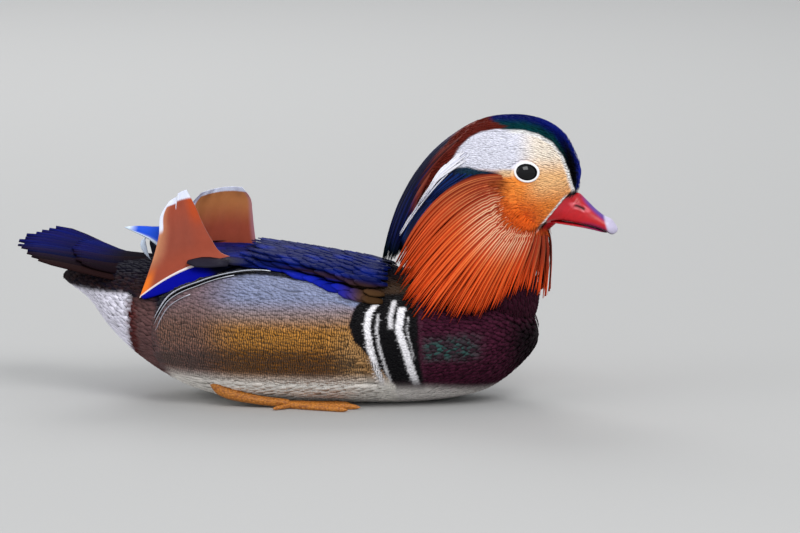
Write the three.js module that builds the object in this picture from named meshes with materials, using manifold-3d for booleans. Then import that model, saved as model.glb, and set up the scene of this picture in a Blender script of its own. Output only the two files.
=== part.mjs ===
// A drake mandarin duck sitting on its belly as it floats, life size, in millimetres.
// +X is forward, +Y is the bird's left and +Z is up. The origin is under the middle of the belly,
// on the level that the belly and the feet rest on.
import * as THREE from "three";
import { mergeVertices } from "three/addons/utils/BufferGeometryUtils.js";
import Module from "manifold-3d";

const wasm = await Module();
wasm.setup();

// Driving sizes
const GAP = 0.3; // between neighbouring pieces
const VANE = 0.9; // thickness of a large feather near its tip
const FLANK_DEPTH = 2.2; // how far the flank feathers stand out from the body
const SAIL_DEPTH = 2.2; // thickness of a sail at its shaft
const EYE = [7.3, 5.2, 6]; // half sizes of an eyeball
const EYE_CENTRE = [122.8, 19.3, 135.2]; // of the left eye
const EYE_TILT = 12; // degrees that the eye's front corner drops
const LID = 1.1; // half thickness of the rim round the eye
const CORE_REACH = 0.5; // how far the cores of ruff and crest reach towards the tips
const RUFF_LOCKS = 18; // feathers of the ruff on each side
const RUFF_LOCK = [4.5, 1.1]; // their half width and half depth
const CREST_ROW = 5; // feathers along each side of the crest
const CREST_BACK = 3; // feathers along its back edge
const CREST_LOCK = [4.4, 1.4];
const NECK_TOP = 97; // level where the head meets the neck
const NECK_AXIS = 98; // place of the middle of the neck along X
const ANKLE_END = -10; // place along X where a leg meets its foot
const SIDES = { right: -1, left: 1 }; // sign of Y

// Sections across the body, from tail to breast: place along X, lowest point, level of the widest point,
// highest point, half width, and how square the upper and the lower half are (2 is an ellipse).
const TORSO = [
  [-146, 64, 68, 72, 9, 2, 2],
  [-131, 56.5, 67, 77, 20, 2.2, 2],
  [-117, 38.5, 60, 78.5, 31, 2.2, 2],
  [-100, 23, 52, 79, 41, 2.3, 2],
  [-75, 8, 44, 81, 51, 2.5, 2],
  [-42, -0.4, 39, 83, 58.5, 2.6, 2.1],
  [-8, -0.8, 38, 80, 60.5, 2.6, 2.2],
  [28, -0.8, 38, 76, 57, 2.2, 2.2],
  [60, -0.3, 38, 73, 49.5, 2, 2.1],
  [88, 4, 38, 71.5, 42, 2, 2],
  [110, 12, 38.5, 68, 33, 2, 2],
  [129, 22, 39, 60, 20, 2, 2],
];

// Sections of the neck, going up: place along Z, rear, middle and front along X, half width, squareness.
const NECK = [
  [34, 76, 95, 112, 12, 2, 2],
  [48, 68, 96, 122, 21, 2, 2],
  [60, 66, 97, 125, 27.5, 2, 2],
  [72, 69, 97, 123.6, 27.5, 2, 2],
  [85, 72, 98, 121.8, 25, 2, 2],
  [98, 72, 98, 124, 23.5, 2, 2],
  [112, 72, 98, 124, 23, 2, 2],
  [126, 76, 98, 120, 20, 2, 2],
];

// Sections across the head, from nape to forehead, laid out as the torso's.
const HEAD = [
  [58, 113, 120, 127, 7, 2, 2],
  [68, 98, 120, 142, 15.5, 2, 2],
  [82, 93, 122, 155, 21.5, 2, 2],
  [97, 91, 124, 162.3, 24.3, 2, 2],
  [112, 90, 125, 164.4, 24.5, 2.1, 2],
  [124, 93, 126, 163.4, 22.6, 2.2, 2],
  [134, 98.5, 127, 160, 18.6, 2.2, 2],
  [142, 106, 129, 154.2, 14.4, 2, 2],
  [148, 113, 131, 146, 10.8, 2, 2],
  [152.6, 122, 132.5, 140, 7, 2, 2],
];

// Sections across the upper and the lower half of the bill, from the gape to the tip.
const BILL_UPPER = [
  [133, 105.6, 108.6, 117, 8.4, 2, 3],
  [142, 104.6, 107.4, 119.5, 8, 1.9, 3],
  [150.3, 103.1, 105.8, 120.2, 7.4, 1.8, 3],
  [155.5, 102.1, 104.6, 115.7, 6.8, 1.8, 3],
  [160.2, 100.9, 103.2, 111.1, 6.3, 1.9, 3],
  [165.4, 99, 101.4, 107.1, 6, 2, 3],
  [169.5, 96.4, 99.8, 105.4, 5.6, 2, 2.4],
  [172.9, 96.2, 99.4, 102.6, 4.2, 2, 2],
];
const BILL_LOWER = [
  [134, 103.3, 104.2, 105.2, 7.4, 3, 2],
  [150.3, 100.9, 101.8, 102.7, 6.6, 3, 2],
  [160.2, 98.9, 99.7, 100.5, 5.6, 3, 2],
  [168.4, 96.5, 97.2, 97.8, 4, 3, 2],
];

// Upper edge of the flank feathers: place along X and height round the body in degrees above its widest line.
const FLANK_EDGE = [
  [-88, 0],
  [-78, 26],
  [-61, 41],
  [-45, 50],
  [-27, 56],
  [-2, 54],
  [15, 48],
  [29, 41],
  [50, 33],
];

// Guide feathers of the ruff on the right, from the nape round to the throat: share of the way round, then the
// root, the control point and the tip of a bent line.
const RUFF = [
  [0, 114.1, -22.5, 132.6, 73.9, -32.2, 138.8, 50.1, -20, 85.1],
  [0.2, 116.9, -22.5, 122.2, 90.1, -37.8, 128.2, 52, -33, 69.7],
  [0.4, 118.5, -21, 115, 94.6, -42, 106.1, 61.5, -44, 57],
  [0.6, 121.7, -18.5, 109.4, 105.4, -42.5, 94.9, 85.1, -42, 52.5],
  [0.75, 124.9, -15.5, 106.7, 117.2, -34.8, 93.1, 101.9, -35, 55.5],
  [0.88, 128.5, -11, 104.4, 125.8, -23.5, 90, 117.9, -26, 65],
  [1, 131, -5.5, 103, 136.6, -8.5, 86.5, 132.6, -9, 59.2],
];

// Guide feathers of the crest, from its back edge to its front edge: share of the way, then the root, the control
// point and the tip along X and Z, and the half width of the crest at its root and its tip.
const CREST = [
  [0, 92, 161.5, 49.5, 138.5, 38.5, 82, 9, 3.5],
  [0.33, 84, 153, 51.5, 128, 41, 80, 13, 6],
  [0.66, 76, 142, 54, 116, 45, 81, 14.5, 7],
  [1, 69, 130, 56, 106, 49, 86, 12, 6],
];

// Each sail from shaft to top: share of the way, front edge and rear edge along X and Z, how much it bulges up,
// and the distance of the front and the rear edge from the bird's middle.
const SAILS = {
  right: [
    [0, -41.6, 83, -96.8, 61.7, 6, 26, 41.5],
    [0.2, -52, 86.5, -92.6, 74, 4.5, 26.5, 39],
    [0.4, -58, 95, -88.9, 86, 3.2, 26.5, 36],
    [0.6, -62.6, 103.5, -86.6, 97, 2.2, 26, 33],
    [0.8, -66.4, 112, -86.1, 107.5, 1.2, 25, 30],
    [1, -71.9, 122, -80.4, 117.3, 0.8, 23.5, 26.5],
  ],
  left: [
    [0, -34, 80, -88, 63, 6, 25, 40],
    [0.2, -38, 85, -86, 74, 5, 25.5, 38],
    [0.4, -39.5, 94, -83.5, 85, 4, 25.8, 35],
    [0.6, -40.3, 102.5, -81, 95.5, 3.4, 25.6, 32],
    [0.8, -41.3, 110.5, -77.5, 105, 2.8, 25, 29],
    [1, -46, 117.4, -70, 113.5, 1.2, 23.5, 26],
  ],
};

// The feathers over each wing in tiers: place of the root along X, angle round the body, length, half width and
// how far the tip stands out.
const SCAPULARS = [
  [34, 60, 46, 12, 4],
  [36, 79, 46, 11, 4.2],
  [2, 63, 42, 11, 6.4],
  [2, 80, 42, 10.5, 6.6],
  [-28, 63, 38, 9.5, 8],
  [-27, 80, 42, 9.5, 8.4],
];
const PRIMARIES = 3;
const PRIMARY_TIP = [-110, 12, 92.5];
const PRIMARY_HALF = 5.5;

// The tail from root to tip: share of the way, place along X, height, half width and arch.
const TAIL = [
  [0, -92, 80.5, 20, 9],
  [0.3, -116, 79.5, 26, 9],
  [0.6, -140, 83.6, 33, 8.5],
  [0.85, -160, 86.3, 35, 7],
  [1, -172.9, 87.4, 33, 6],
];

const TAIL_FEATHERS = 10;
const TAIL_COVERTS = 3;
const TAIL_HALF = 5.2;

// The lower edge of the crown along X and Z, seen from the side, from the bill up over the eye and down behind
// the nape, and then round the outside of the crest.
const BROW = [
  [149, 121],
  [146.5, 132],
  [142.8, 142.7],
  [136.6, 150.9],
  [128.4, 155.4],
  [119, 157.4],
  [104, 157.6],
  [95.3, 155.8],
  [89, 152],
  [84, 147.4],
  [79.8, 140.7],
  [72.6, 131.7],
  [66.4, 124.5],
  [60.2, 114],
  [58, 60],
  [0, 60],
  [0, 200],
  [180, 200],
  [180, 123],
];

// The left leg from the ankle to the toes: share of the way, then X, Y, Z and radius.
const LEG = [
  [0, -56, 36, 17, 4],
  [0.25, -49, 40, 9, 3.6],
  [0.6, -30, 42.5, 4.6, 2.7],
  [1, 2, 43, 2.6, 2.4],
];

// The tips of the left foot's toes along X and Y.
const TOES = [
  [24, 34],
  [30, 43.5],
  [24, 53.5],
];

// The columns of a table at one place, on a smooth curve through its rows.
function along(rows, place) {
  const last = rows.length - 1;
  const at = Math.min(Math.max(place, rows[0][0]), rows[last][0]);
  const next = rows.findIndex((row) => row[0] > at);
  const i = next < 0 ? last - 1 : next - 1;
  const span = rows[i + 1][0] - rows[i][0];
  const t = (at - rows[i][0]) / span;
  const slope = (k, c) => {
    const a = Math.max(k - 1, 0);
    const b = Math.min(k + 1, last);
    return (rows[b][c] - rows[a][c]) / (rows[b][0] - rows[a][0]);
  };
  return rows[i].map(
    (value, c) =>
      value * (2 * t ** 3 - 3 * t ** 2 + 1) +
      rows[i + 1][c] * (3 * t ** 2 - 2 * t ** 3) +
      slope(i, c) * span * (t ** 3 - 2 * t ** 2 + t) +
      slope(i + 1, c) * span * (t ** 3 - t ** 2),
  );
}

const power = (value, exponent) =>
  Math.sign(value) * Math.abs(value) ** exponent;
const mix = (a, b, t) => a + (b - a) * t;
const radians = THREE.MathUtils.degToRad;

// A rounded body along a table of sections, closed by a dome at each end.
class Form {
  constructor(rows, domes, upright = false) {
    this.rows = rows;
    this.domes = domes;
    this.upright = upright;
    this.start = rows[0][0];
    this.end = rows[rows.length - 1][0];
  }

  // A point of the surface: place along the form, and angle from the right-hand side over the top, in radians.
  point(place, angle, lift = 0) {
    const [, low, middle, high, half, upper, lower] = along(this.rows, place);
    const from = (distance, dome) =>
      Math.sqrt(1 - Math.max(0, 1 - distance / dome) ** 2);
    const dome = Math.min(
      from(Math.max(0, place - this.start), this.domes[0]),
      from(Math.max(0, this.end - place), this.domes[1]),
    );
    const rise = Math.sin(angle);
    const exponent = 2 / (rise > 0 ? upper : lower);
    const tall = (rise > 0 ? high - middle : middle - low) * dome + lift;
    const across = -power(Math.cos(angle), exponent) * (half * dome + lift);
    const up = middle + power(rise, exponent) * tall;
    return this.upright
      ? new THREE.Vector3(up, across, place)
      : new THREE.Vector3(place, across, up);
  }

  // The closed surface, made fuller all round by grow.
  geometry(around, steps, grow = 0) {
    const shape = new THREE.SphereGeometry(1, around, steps);
    const at = shape.attributes.position;
    for (let ring = 0; ring <= steps; ring++) {
      const t = ring / steps;
      const eased = mix(t, 0.5 - 0.5 * Math.cos(Math.PI * t), 0.55);
      const place = mix(this.start, this.end, eased);
      const beyond = mix(-grow, grow, t);
      for (let k = 0; k <= around; k++) {
        const angle = (2 * Math.PI * (k % around)) / around;
        const lift = ring % steps === 0 ? 0 : grow;
        const p = this.point(place, angle, lift);
        p[this.upright ? "z" : "x"] += beyond;
        at.setXYZ(ring * (around + 1) + k, p.x, p.y, p.z);
      }
    }
    return shape;
  }
}

// A closed mesh as a solid, whichever way round its faces were made.
function solidOf(geometry) {
  const bare = geometry.clone();
  bare.deleteAttribute("normal");
  bare.deleteAttribute("uv");
  const merged = mergeVertices(bare, 1e-4);
  const points = merged.attributes.position.array;
  const index = merged.index.array;
  const corner = (i) =>
    new THREE.Vector3().fromArray(points, 3 * index[i]);
  const faces = [];
  let volume = 0;
  for (let i = 0; i < index.length; i += 3) {
    const [a, b, c] = [index[i], index[i + 1], index[i + 2]];
    if (a === b || b === c || c === a) continue;
    faces.push([a, b, c]);
    volume += corner(i).dot(corner(i + 1).cross(corner(i + 2)));
  }
  if (volume < 0) faces.forEach((face) => face.reverse());
  return new wasm.Manifold(
    new wasm.Mesh({
      numProp: 3,
      vertProperties: new Float32Array(points),
      triVerts: new Uint32Array(faces.flat()),
    }),
  );
}

// Joins pieces into one solid and keeps only its largest closed surface.
function join(pieces) {
  const whole = pieces.reduce((sum, piece) => sum.add(piece));
  return largest(whole);
}

function largest(solid) {
  return solid
    .decompose()
    .reduce((best, piece) => (piece.volume() > best.volume() ? piece : best));
}

// Half of space, as a very large box: the side of a plane that the normal points to.
function beyond(point, normal) {
  const size = 1200;
  const direction = new THREE.Vector3(...normal).normalize();
  const turn = new THREE.Quaternion().setFromUnitVectors(
    new THREE.Vector3(0, 0, 1),
    direction,
  );
  const box = new THREE.BoxGeometry(size, size, size);
  box.applyQuaternion(turn);
  const centre = direction
    .clone()
    .multiplyScalar(size / 2)
    .add(new THREE.Vector3(...point));
  box.translate(centre.x, centre.y, centre.z);
  return solidOf(box);
}

// A thin blade: place(t, s, face) gives its corners, with t from root to tip, s from -1 to 1 across and face 0 or 1.
// Both faces are split into triangles alike.
function blade(lengthSteps, widthSteps, place) {
  const points = [];
  const faces = [];
  const number = (i, j, face) =>
    (i * (widthSteps + 1) + j) * 2 + face;
  for (let i = 0; i <= lengthSteps; i++)
    for (let j = 0; j <= widthSteps; j++)
      for (const face of [0, 1]) {
        const p = place(i / lengthSteps, (2 * j) / widthSteps - 1, face);
        points.push(p.x, p.y, p.z);
      }
  const quad = (a, b, c, d) => faces.push(a, b, c, a, c, d);
  for (let i = 0; i < lengthSteps; i++)
    for (let j = 0; j < widthSteps; j++)
      for (const face of [0, 1]) {
        const corners = [
          number(i, j, face),
          number(i + 1, j, face),
          number(i + 1, j + 1, face),
          number(i, j + 1, face),
        ];
        const [a, b, c, d] = corners;
        if (face) quad(a, b, c, d);
        else faces.push(a, c, b, a, d, c);
      }
  for (let i = 0; i < lengthSteps; i++) {
    const [p, q] = [i, i + 1];
    quad(number(p, 0, 0), number(q, 0, 0), number(q, 0, 1), number(p, 0, 1));
    const w = widthSteps;
    quad(number(q, w, 0), number(p, w, 0), number(p, w, 1), number(q, w, 1));
  }
  for (let j = 0; j < widthSteps; j++) {
    const [p, q] = [j, j + 1];
    const n = lengthSteps;
    quad(number(0, q, 0), number(0, p, 0), number(0, p, 1), number(0, q, 1));
    quad(number(n, p, 0), number(n, q, 0), number(n, q, 1), number(n, p, 1));
  }
  const shape = new THREE.BufferGeometry();
  shape.setAttribute("position", new THREE.Float32BufferAttribute(points, 3));
  shape.setIndex(faces);
  return solidOf(shape);
}

// A rod with rounded ends along a smooth curve: each row is a place, X, Y, Z and a radius.
function rod(rows, around = 8, steps = 8) {
  const shape = new THREE.SphereGeometry(1, around, steps);
  const at = shape.attributes.position;
  const centre = (t) => new THREE.Vector3(...along(rows, t).slice(1, 4));
  for (let ring = 0; ring <= steps; ring++) {
    const t = ring / steps;
    const ahead = centre(t + 0.02).sub(centre(t - 0.02)).normalize();
    const side = new THREE.Vector3(0, 1, 0).cross(ahead).normalize();
    const third = ahead.clone().cross(side);
    const radius = ring % steps === 0 ? 0 : along(rows, t)[4];
    for (let k = 0; k <= around; k++) {
      const angle = (2 * Math.PI * (k % around)) / around;
      const p = centre(t)
        .addScaledVector(side, radius * Math.cos(angle))
        .addScaledVector(third, radius * Math.sin(angle));
      at.setXYZ(ring * (around + 1) + k, p.x, p.y, p.z);
    }
  }
  return shape;
}

// Numbers from 0 to 1 in a fixed order
let seed = 7;
function draw() {
  seed = (seed * 16807) % 2147483647;
  return seed / 2147483647;
}
const vary = (amount) => amount * (2 * draw() - 1);

// A flat, tapered lock: path gives its middle line, outward the direction that it faces.
function lock(path, outward, half, depth, steps) {
  const shape = new THREE.SphereGeometry(1, 4, steps);
  const at = shape.attributes.position;
  for (let ring = 0; ring <= steps; ring++) {
    const t = ring / steps;
    const centre = path(t);
    const ahead = path(t + 0.03).sub(path(t - 0.03)).normalize();
    const out = outward(t);
    out.addScaledVector(ahead, -out.dot(ahead)).normalize();
    const side = ahead.clone().cross(out);
    const full = ring % steps === 0 ? 0 : Math.min(1, 1.7 * (1 - t)) * Math.min(1, 0.7 + t);
    for (let k = 0; k <= 4; k++) {
      const angle = (Math.PI / 2) * (k % 4);
      const p = centre
        .clone()
        .addScaledVector(side, half * full * Math.cos(angle))
        .addScaledVector(out, depth * full * Math.sin(angle));
      at.setXYZ(ring * 5 + k, p.x, p.y, p.z);
    }
  }
  return solidOf(shape);
}

// How wide a feather is along its length, as a share of its full width
const vaneWidth = (t) =>
  Math.min(1, 0.55 + 1.6 * t) * Math.sqrt(Math.max(0.03, 1 - Math.max(0, (t - 0.7) / 0.31) ** 2));

// A point of a bent line given by its two ends and a control point.
const bend = (root, control, tip, t) =>
  root
    .clone()
    .multiplyScalar((1 - t) ** 2)
    .addScaledVector(control, 2 * t * (1 - t))
    .addScaledVector(tip, t * t);

// Forms of the body, and the whole of its flesh before it is parted
const torsoForm = new Form(TORSO, [14, 34]);
const neckForm = new Form(NECK, [8, 10], true);
const headForm = new Form(HEAD, [10, 9]);
const floor = beyond([0, 0, 0], [0, 0, 1]);
const torsoRoom = solidOf(torsoForm.geometry(28, 21, GAP));
const neckRoom = solidOf(neckForm.geometry(22, 10, GAP));
const headRoom = solidOf(headForm.geometry(26, 17, GAP));

// The neck is above one slanted plane and below the head.
const SHOULDER = [125, 0, 60];
const SHOULDER_TILT = [0.25, 0, 1];
const aboveShoulder = beyond([125, 0, 60 + GAP], SHOULDER_TILT);
const belowShoulder = beyond(SHOULDER, [-0.25, 0, -1]);
const aboveNeck = beyond([0, 0, NECK_TOP], [0, 0, 1]);
const belowHead = beyond([0, 0, NECK_TOP - GAP], [0, 0, -1]);

const flesh = join([
  solidOf(torsoForm.geometry(28, 21)),
  solidOf(neckForm.geometry(22, 10)),
  solidOf(headForm.geometry(26, 17)),
]);

// A patch that lies on the torso, from one place to another and between two angles, with its two faces lifted.
function torsoPatch(side, steps, from, to, angles, lifts, bow = 0) {
  return blade(steps[0], steps[1], (t, s, face) => {
    const x = mix(from - bow * s * s, to, t);
    const [low, high] = angles(x);
    const angle = radians(mix(low, high, (s + 1) / 2));
    const p = torsoForm.point(x, angle, lifts(t, s)[face]);
    p.y *= -side;
    return p;
  });
}

// The flank feathers lie over the side of the body and end in a raised edge above.
function flank(side, grow = 0) {
  return torsoPatch(
    side,
    [9, 3],
    -88 - grow,
    48 + grow,
    (x) => [-42 - 12 * Math.max(0, (-50 - x) / 38), along(FLANK_EDGE, x)[1] + grow],
    (t, s) => {
      const ends = Math.min(1, (1 - t) * 4);
      const lift = mix(-0.8, FLANK_DEPTH, Math.min(1, (s + 1) * 1.2) * ends);
      return [-3, lift + grow];
    },
  );
}

function torso() {
  const bare = flesh.intersect(belowShoulder);
  return largest(join([bare, flank(-1), flank(1)]).intersect(floor));
}

function neck() {
  return largest(flesh.intersect(aboveShoulder).intersect(belowHead));
}

// A sail is the widened vane of a wing feather, standing up from its shaft. Across, s runs from the front edge
// to the rear edge, and t runs from the shaft to the top.
function sailPoint(side, t, s) {
  const [, x1, z1, x2, z2, bulge, y1, y2] = along(SAILS[side], t);
  const u = (s + 1) / 2;
  return new THREE.Vector3(
    mix(x1, x2, u),
    mix(y1, y2, u) + 2.5 * Math.sin(Math.PI * u) * t,
    mix(z1, z2, u) + bulge * 4 * u * (1 - u),
  );
}

function sail(side, thickness) {
  const sign = SIDES[side];
  const web = blade(7, 5, (t, s, face) => {
    const p = sailPoint(side, t, s);
    const half = (thickness / 2) * mix(1, 0.6, t);
    p.y = sign * (p.y + (face ? half : -half));
    return p;
  });
  return web;
}

function sailNode(side) {
  const bare = sail(side, SAIL_DEPTH).subtract(torsoRoom);
  return largest(bare.subtract(flank(SIDES[side], GAP)));
}

// A feather that lies along the back and lifts towards its tip.
function backVane(sign, x, angle, length, half, lift) {
  return blade(3, 2, (t, s, face) => {
    const place = x - length * t;
    const width = half * vaneWidth(t);
    const turn = radians(angle + ((s * width) / 46) * (180 / Math.PI));
    const rise = mix(0.5, lift, Math.min(1, t * 1.5)) - 0.8 * s * s;
    const p = torsoForm.point(place, turn, rise + (face ? 0 : -mix(3, VANE, t)));
    p.y *= -sign;
    return p;
  });
}

// A long flight feather, held straight back over the rump. The first one is the longest and lies lowest.
function primary(sign, i) {
  const tip = PRIMARY_TIP[0] + i * 6;
  return blade(3, 2, (t, s, face) => {
    const x = mix(-44, tip, t);
    const y = mix(22, PRIMARY_TIP[1] + i * 0.8, t) + s * PRIMARY_HALF * vaneWidth(t);
    const z = mix(84, PRIMARY_TIP[2], t) + i * 0.5 - 1.2 * s * s;
    return new THREE.Vector3(x, sign * y, z + (face ? 0 : -mix(2.5, VANE, t)));
  });
}

// The wing lies folded on the back: its coverts and the feathers over them, from the shoulder to the rump.
function wing(side) {
  const sign = SIDES[side];
  const cover = torsoPatch(
    sign,
    [7, 3],
    46,
    -70,
    (x) => [along(FLANK_EDGE, x)[1] + 1.5, 88.5],
    (t, s) => {
      const rise = Math.min(1, 0.35 + 5 * t);
      return [GAP + 0.1, (1.4 + (1.5 + 5 * t * t) * (1 - s * s)) * rise];
    },
    12,
  );
  const feathers = [];
  for (const [x, angle, length, half, lift] of SCAPULARS)
    feathers.push(backVane(sign, x, angle, length, half, lift));
  for (let i = 0; i < PRIMARIES; i++) feathers.push(primary(sign, i));
  const room = sail(side, SAIL_DEPTH + 2 * GAP);
  const half = beyond([0, (sign * GAP) / 2, 0], [0, sign, 0]);
  const whole = join([cover, ...feathers]).subtract(room).intersect(half);
  return largest(whole.subtract(torsoRoom).subtract(flank(sign, GAP)));
}

// The tail is a fan of feathers, arched from side to side. The middle ones are the longest and lie on top.
function tailPoint(t, s) {
  const [, x, z, half, arch] = along(TAIL, t);
  return new THREE.Vector3(x + 26 * s * s * t, s * half, z - arch * s * s + 2.2 * s);
}

function tailVane(share, reach, half, lift) {
  return blade(3, 2, (t, s, face) => {
    const p = tailPoint(t * reach, share);
    p.y += s * half * vaneWidth(t);
    p.z += lift * Math.min(1, 3 * t) - 0.7 * s * s - 0.5 * t * Math.abs(share) + (s * share < 0 ? 0.5 * t : 0);
    p.z -= face ? 0 : mix(3, VANE, t);
    return p;
  });
}

function tail() {
  const core = blade(2, 5, (t, s, face) => {
    const p = tailPoint(t * 0.45, s * 0.97);
    p.z -= face ? 0.6 : mix(6, 2.4, t);
    return p;
  });
  const feathers = [];
  for (let i = 0; i < TAIL_FEATHERS; i++)
    feathers.push(tailVane((2 * (i + 0.5)) / TAIL_FEATHERS - 1, 1, TAIL_HALF, 0));
  for (let i = 0; i < TAIL_COVERTS; i++)
    feathers.push(tailVane(((2 * (i + 0.5)) / TAIL_COVERTS - 1) * 0.75, 0.62, TAIL_HALF, 1.2));
  return largest(join([core, ...feathers]).subtract(torsoRoom));
}

// Each eye is a flattened ball in a socket with a raised lid.
function eye(side, grow = 0) {
  const ball = new THREE.SphereGeometry(1, 16, 8);
  ball.rotateX(Math.PI / 2);
  ball.scale(EYE[0] + grow, EYE[1] + grow, EYE[2] + grow);
  ball.rotateY(radians(EYE_TILT));
  ball.translate(EYE_CENTRE[0], SIDES[side] * EYE_CENTRE[1], EYE_CENTRE[2]);
  return solidOf(ball);
}

function lid(side) {
  const ring = new THREE.TorusGeometry(1, LID / EYE[0], 5, 16);
  ring.rotateX(Math.PI / 2);
  ring.scale(EYE[0] + 0.3, EYE[0] * 1.4, EYE[2] + 0.3);
  ring.rotateY(radians(EYE_TILT));
  ring.translate(EYE_CENTRE[0], SIDES[side] * (EYE_CENTRE[1] + 2.9), EYE_CENTRE[2]);
  return solidOf(ring);
}

// The ruff hangs from the cheek. Its outer surface runs round from the nape to the throat with a, and from root
// to tip with t.
function ruffPoint(side, a, t) {
  const g = along(RUFF, a);
  const p = bend(
    new THREE.Vector3(...g.slice(1, 4)),
    new THREE.Vector3(...g.slice(4, 7)),
    new THREE.Vector3(...g.slice(7, 10)),
    t,
  );
  p.y *= -side;
  return p;
}

// Under the outer feathers the ruff has a core that ends half way to their tips.
function ruffCore(side) {
  return blade(4, 8, (t, s, face) => {
    const p = ruffPoint(side, mix(0.02, 0.98, (s + 1) / 2), t * CORE_REACH);
    const deep = face ? 0.985 : mix(0.66, 0.9, t);
    p.x = mix(NECK_AXIS, p.x, deep);
    p.y *= deep;
    return p;
  });
}

// One feather of the ruff, lifted from the ones beside it.
function ruffLock(side, a, lift) {
  const reach = 1 + vary(0.05);
  const drift = vary(0.012);
  const outward = (t) => {
    const p = ruffPoint(side, a, t);
    return new THREE.Vector3(p.x - NECK_AXIS, p.y, 8).normalize();
  };
  const path = (t) => {
    const share = Math.min(Math.max(a + drift * t, 0), 1);
    const p = ruffPoint(side, share, t * reach);
    return p.addScaledVector(outward(t), lift * Math.sin(Math.PI * Math.min(1, Math.max(0, t))));
  };
  return lock(path, outward, RUFF_LOCK[0] * (1 + vary(0.12)), RUFF_LOCK[1], 4);
}

function ruff(side) {
  seed = 11;
  const sign = SIDES[side];
  const locks = [];
  for (let i = 0; i < RUFF_LOCKS; i++) {
    const a = (i + 0.3 + 0.4 * draw()) / RUFF_LOCKS;
    locks.push(ruffLock(sign, a, i % 2 ? 0.9 : -0.5));
  }
  const whole = join([ruffCore(sign), ...locks]);
  return largest(whole.subtract(headRoom).subtract(neckRoom).subtract(torsoRoom));
}

// The crest hangs from the crown. It runs from its back edge to its front edge with a, and from root to tip with t.
function crestPoint(a, t, across) {
  const g = along(CREST, a);
  const p = bend(
    new THREE.Vector3(g[1], 0, g[2]),
    new THREE.Vector3(g[3], 0, g[4]),
    new THREE.Vector3(g[5], 0, g[6]),
    t,
  );
  p.y = across * mix(g[7], g[8], t);
  return p;
}

function crestCore() {
  return blade(4, 5, (t, s, face) => {
    const edge = 0.9 * Math.sqrt(1 - 0.75 * s * s);
    return crestPoint(mix(0.06, 0.94, (s + 1) / 2), t * CORE_REACH, (face ? 1 : -1) * edge);
  });
}

// One feather of the crest, which runs on from the crown and hangs free at its tip.
function crestLock(a, across) {
  const reach = 1 + vary(0.06);
  const turn = vary(0.05);
  const edge = Math.sqrt(1 - 0.75 * (2 * a - 1) ** 2);
  const path = (t) => crestPoint(a + turn * t, t * reach, across * edge);
  const back = new THREE.Vector3(-0.6, 0, 0.5).multiplyScalar(1.4 * (0.5 - a));
  const outward = () => new THREE.Vector3(0, across, 0).add(back);
  return lock(path, outward, CREST_LOCK[0] * (1 + vary(0.15)), CREST_LOCK[1], 5);
}

function crestLocks() {
  seed = 23;
  const locks = [];
  for (let i = 0; i < CREST_ROW; i++)
    for (const side of [-1, 1]) locks.push(crestLock((i + 0.5) / CREST_ROW, side * 0.97));
  for (let i = 0; i < CREST_BACK; i++)
    locks.push(crestLock(0.02 + 0.02 * draw(), mix(-0.8, 0.8, i / (CREST_BACK - 1))));
  return locks;
}

// The cap is the part of the head above the brow, from the bill to the nape.
function cap(grow) {
  const outline = new THREE.Shape();
  BROW.forEach(([x, z], i) => {
    if (i) outline.lineTo(x, z - grow);
    else outline.moveTo(x, z - grow);
  });
  const shape = new THREE.ExtrudeGeometry(outline, { depth: 100, bevelEnabled: false });
  shape.rotateX(Math.PI / 2);
  shape.translate(0, 50, 0);
  return solidOf(shape);
}

function head() {
  const bare = flesh.intersect(aboveNeck).subtract(cap(GAP));
  const lidded = join([bare, lid("right"), lid("left")]);
  return largest(lidded.subtract(eye("right", GAP)).subtract(eye("left", GAP)));
}

function crest() {
  const crown = flesh.intersect(aboveNeck).intersect(cap(0));
  const hanging = join([crestCore(), ...crestLocks()]);
  return largest(join([crown, hanging.subtract(headRoom.subtract(cap(0)))]));
}

// The bill has an upper half with a nail at its tip and a nostril pit on each side, and a narrower lower half.
const billUpper = new Form(BILL_UPPER, [3, 5]);
const billLower = new Form(BILL_LOWER, [3, 5]);

function nostril(side) {
  const pit = new THREE.SphereGeometry(1, 10, 6);
  pit.scale(2.6, 1.2, 1);
  pit.rotateY(radians(32));
  pit.translate(153.8, side * 4.4, 110.2);
  return solidOf(pit);
}

function upperHalf() {
  return largest(
    solidOf(billUpper.geometry(16, 14))
      .subtract(headRoom)
      .subtract(nostril(-1))
      .subtract(nostril(1)),
  );
}

function lowerHalf() {
  const room = solidOf(billUpper.geometry(16, 14, GAP));
  return largest(solidOf(billLower.geometry(12, 8)).subtract(headRoom).subtract(room));
}

// Each leg lies along the floor beside the belly, and ends in three toes joined by a web and a short hind toe.
function leg(side) {
  const sign = SIDES[side];
  const shank = solidOf(rod(LEG.map(([t, x, y, z, r]) => [t, x, sign * y, z, r]), 10, 10));
  return largest(
    shank
      .intersect(beyond([ANKLE_END, 0, 0], [-1, 0, 0]))
      .subtract(torsoRoom)
      .intersect(floor),
  );
}

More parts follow.
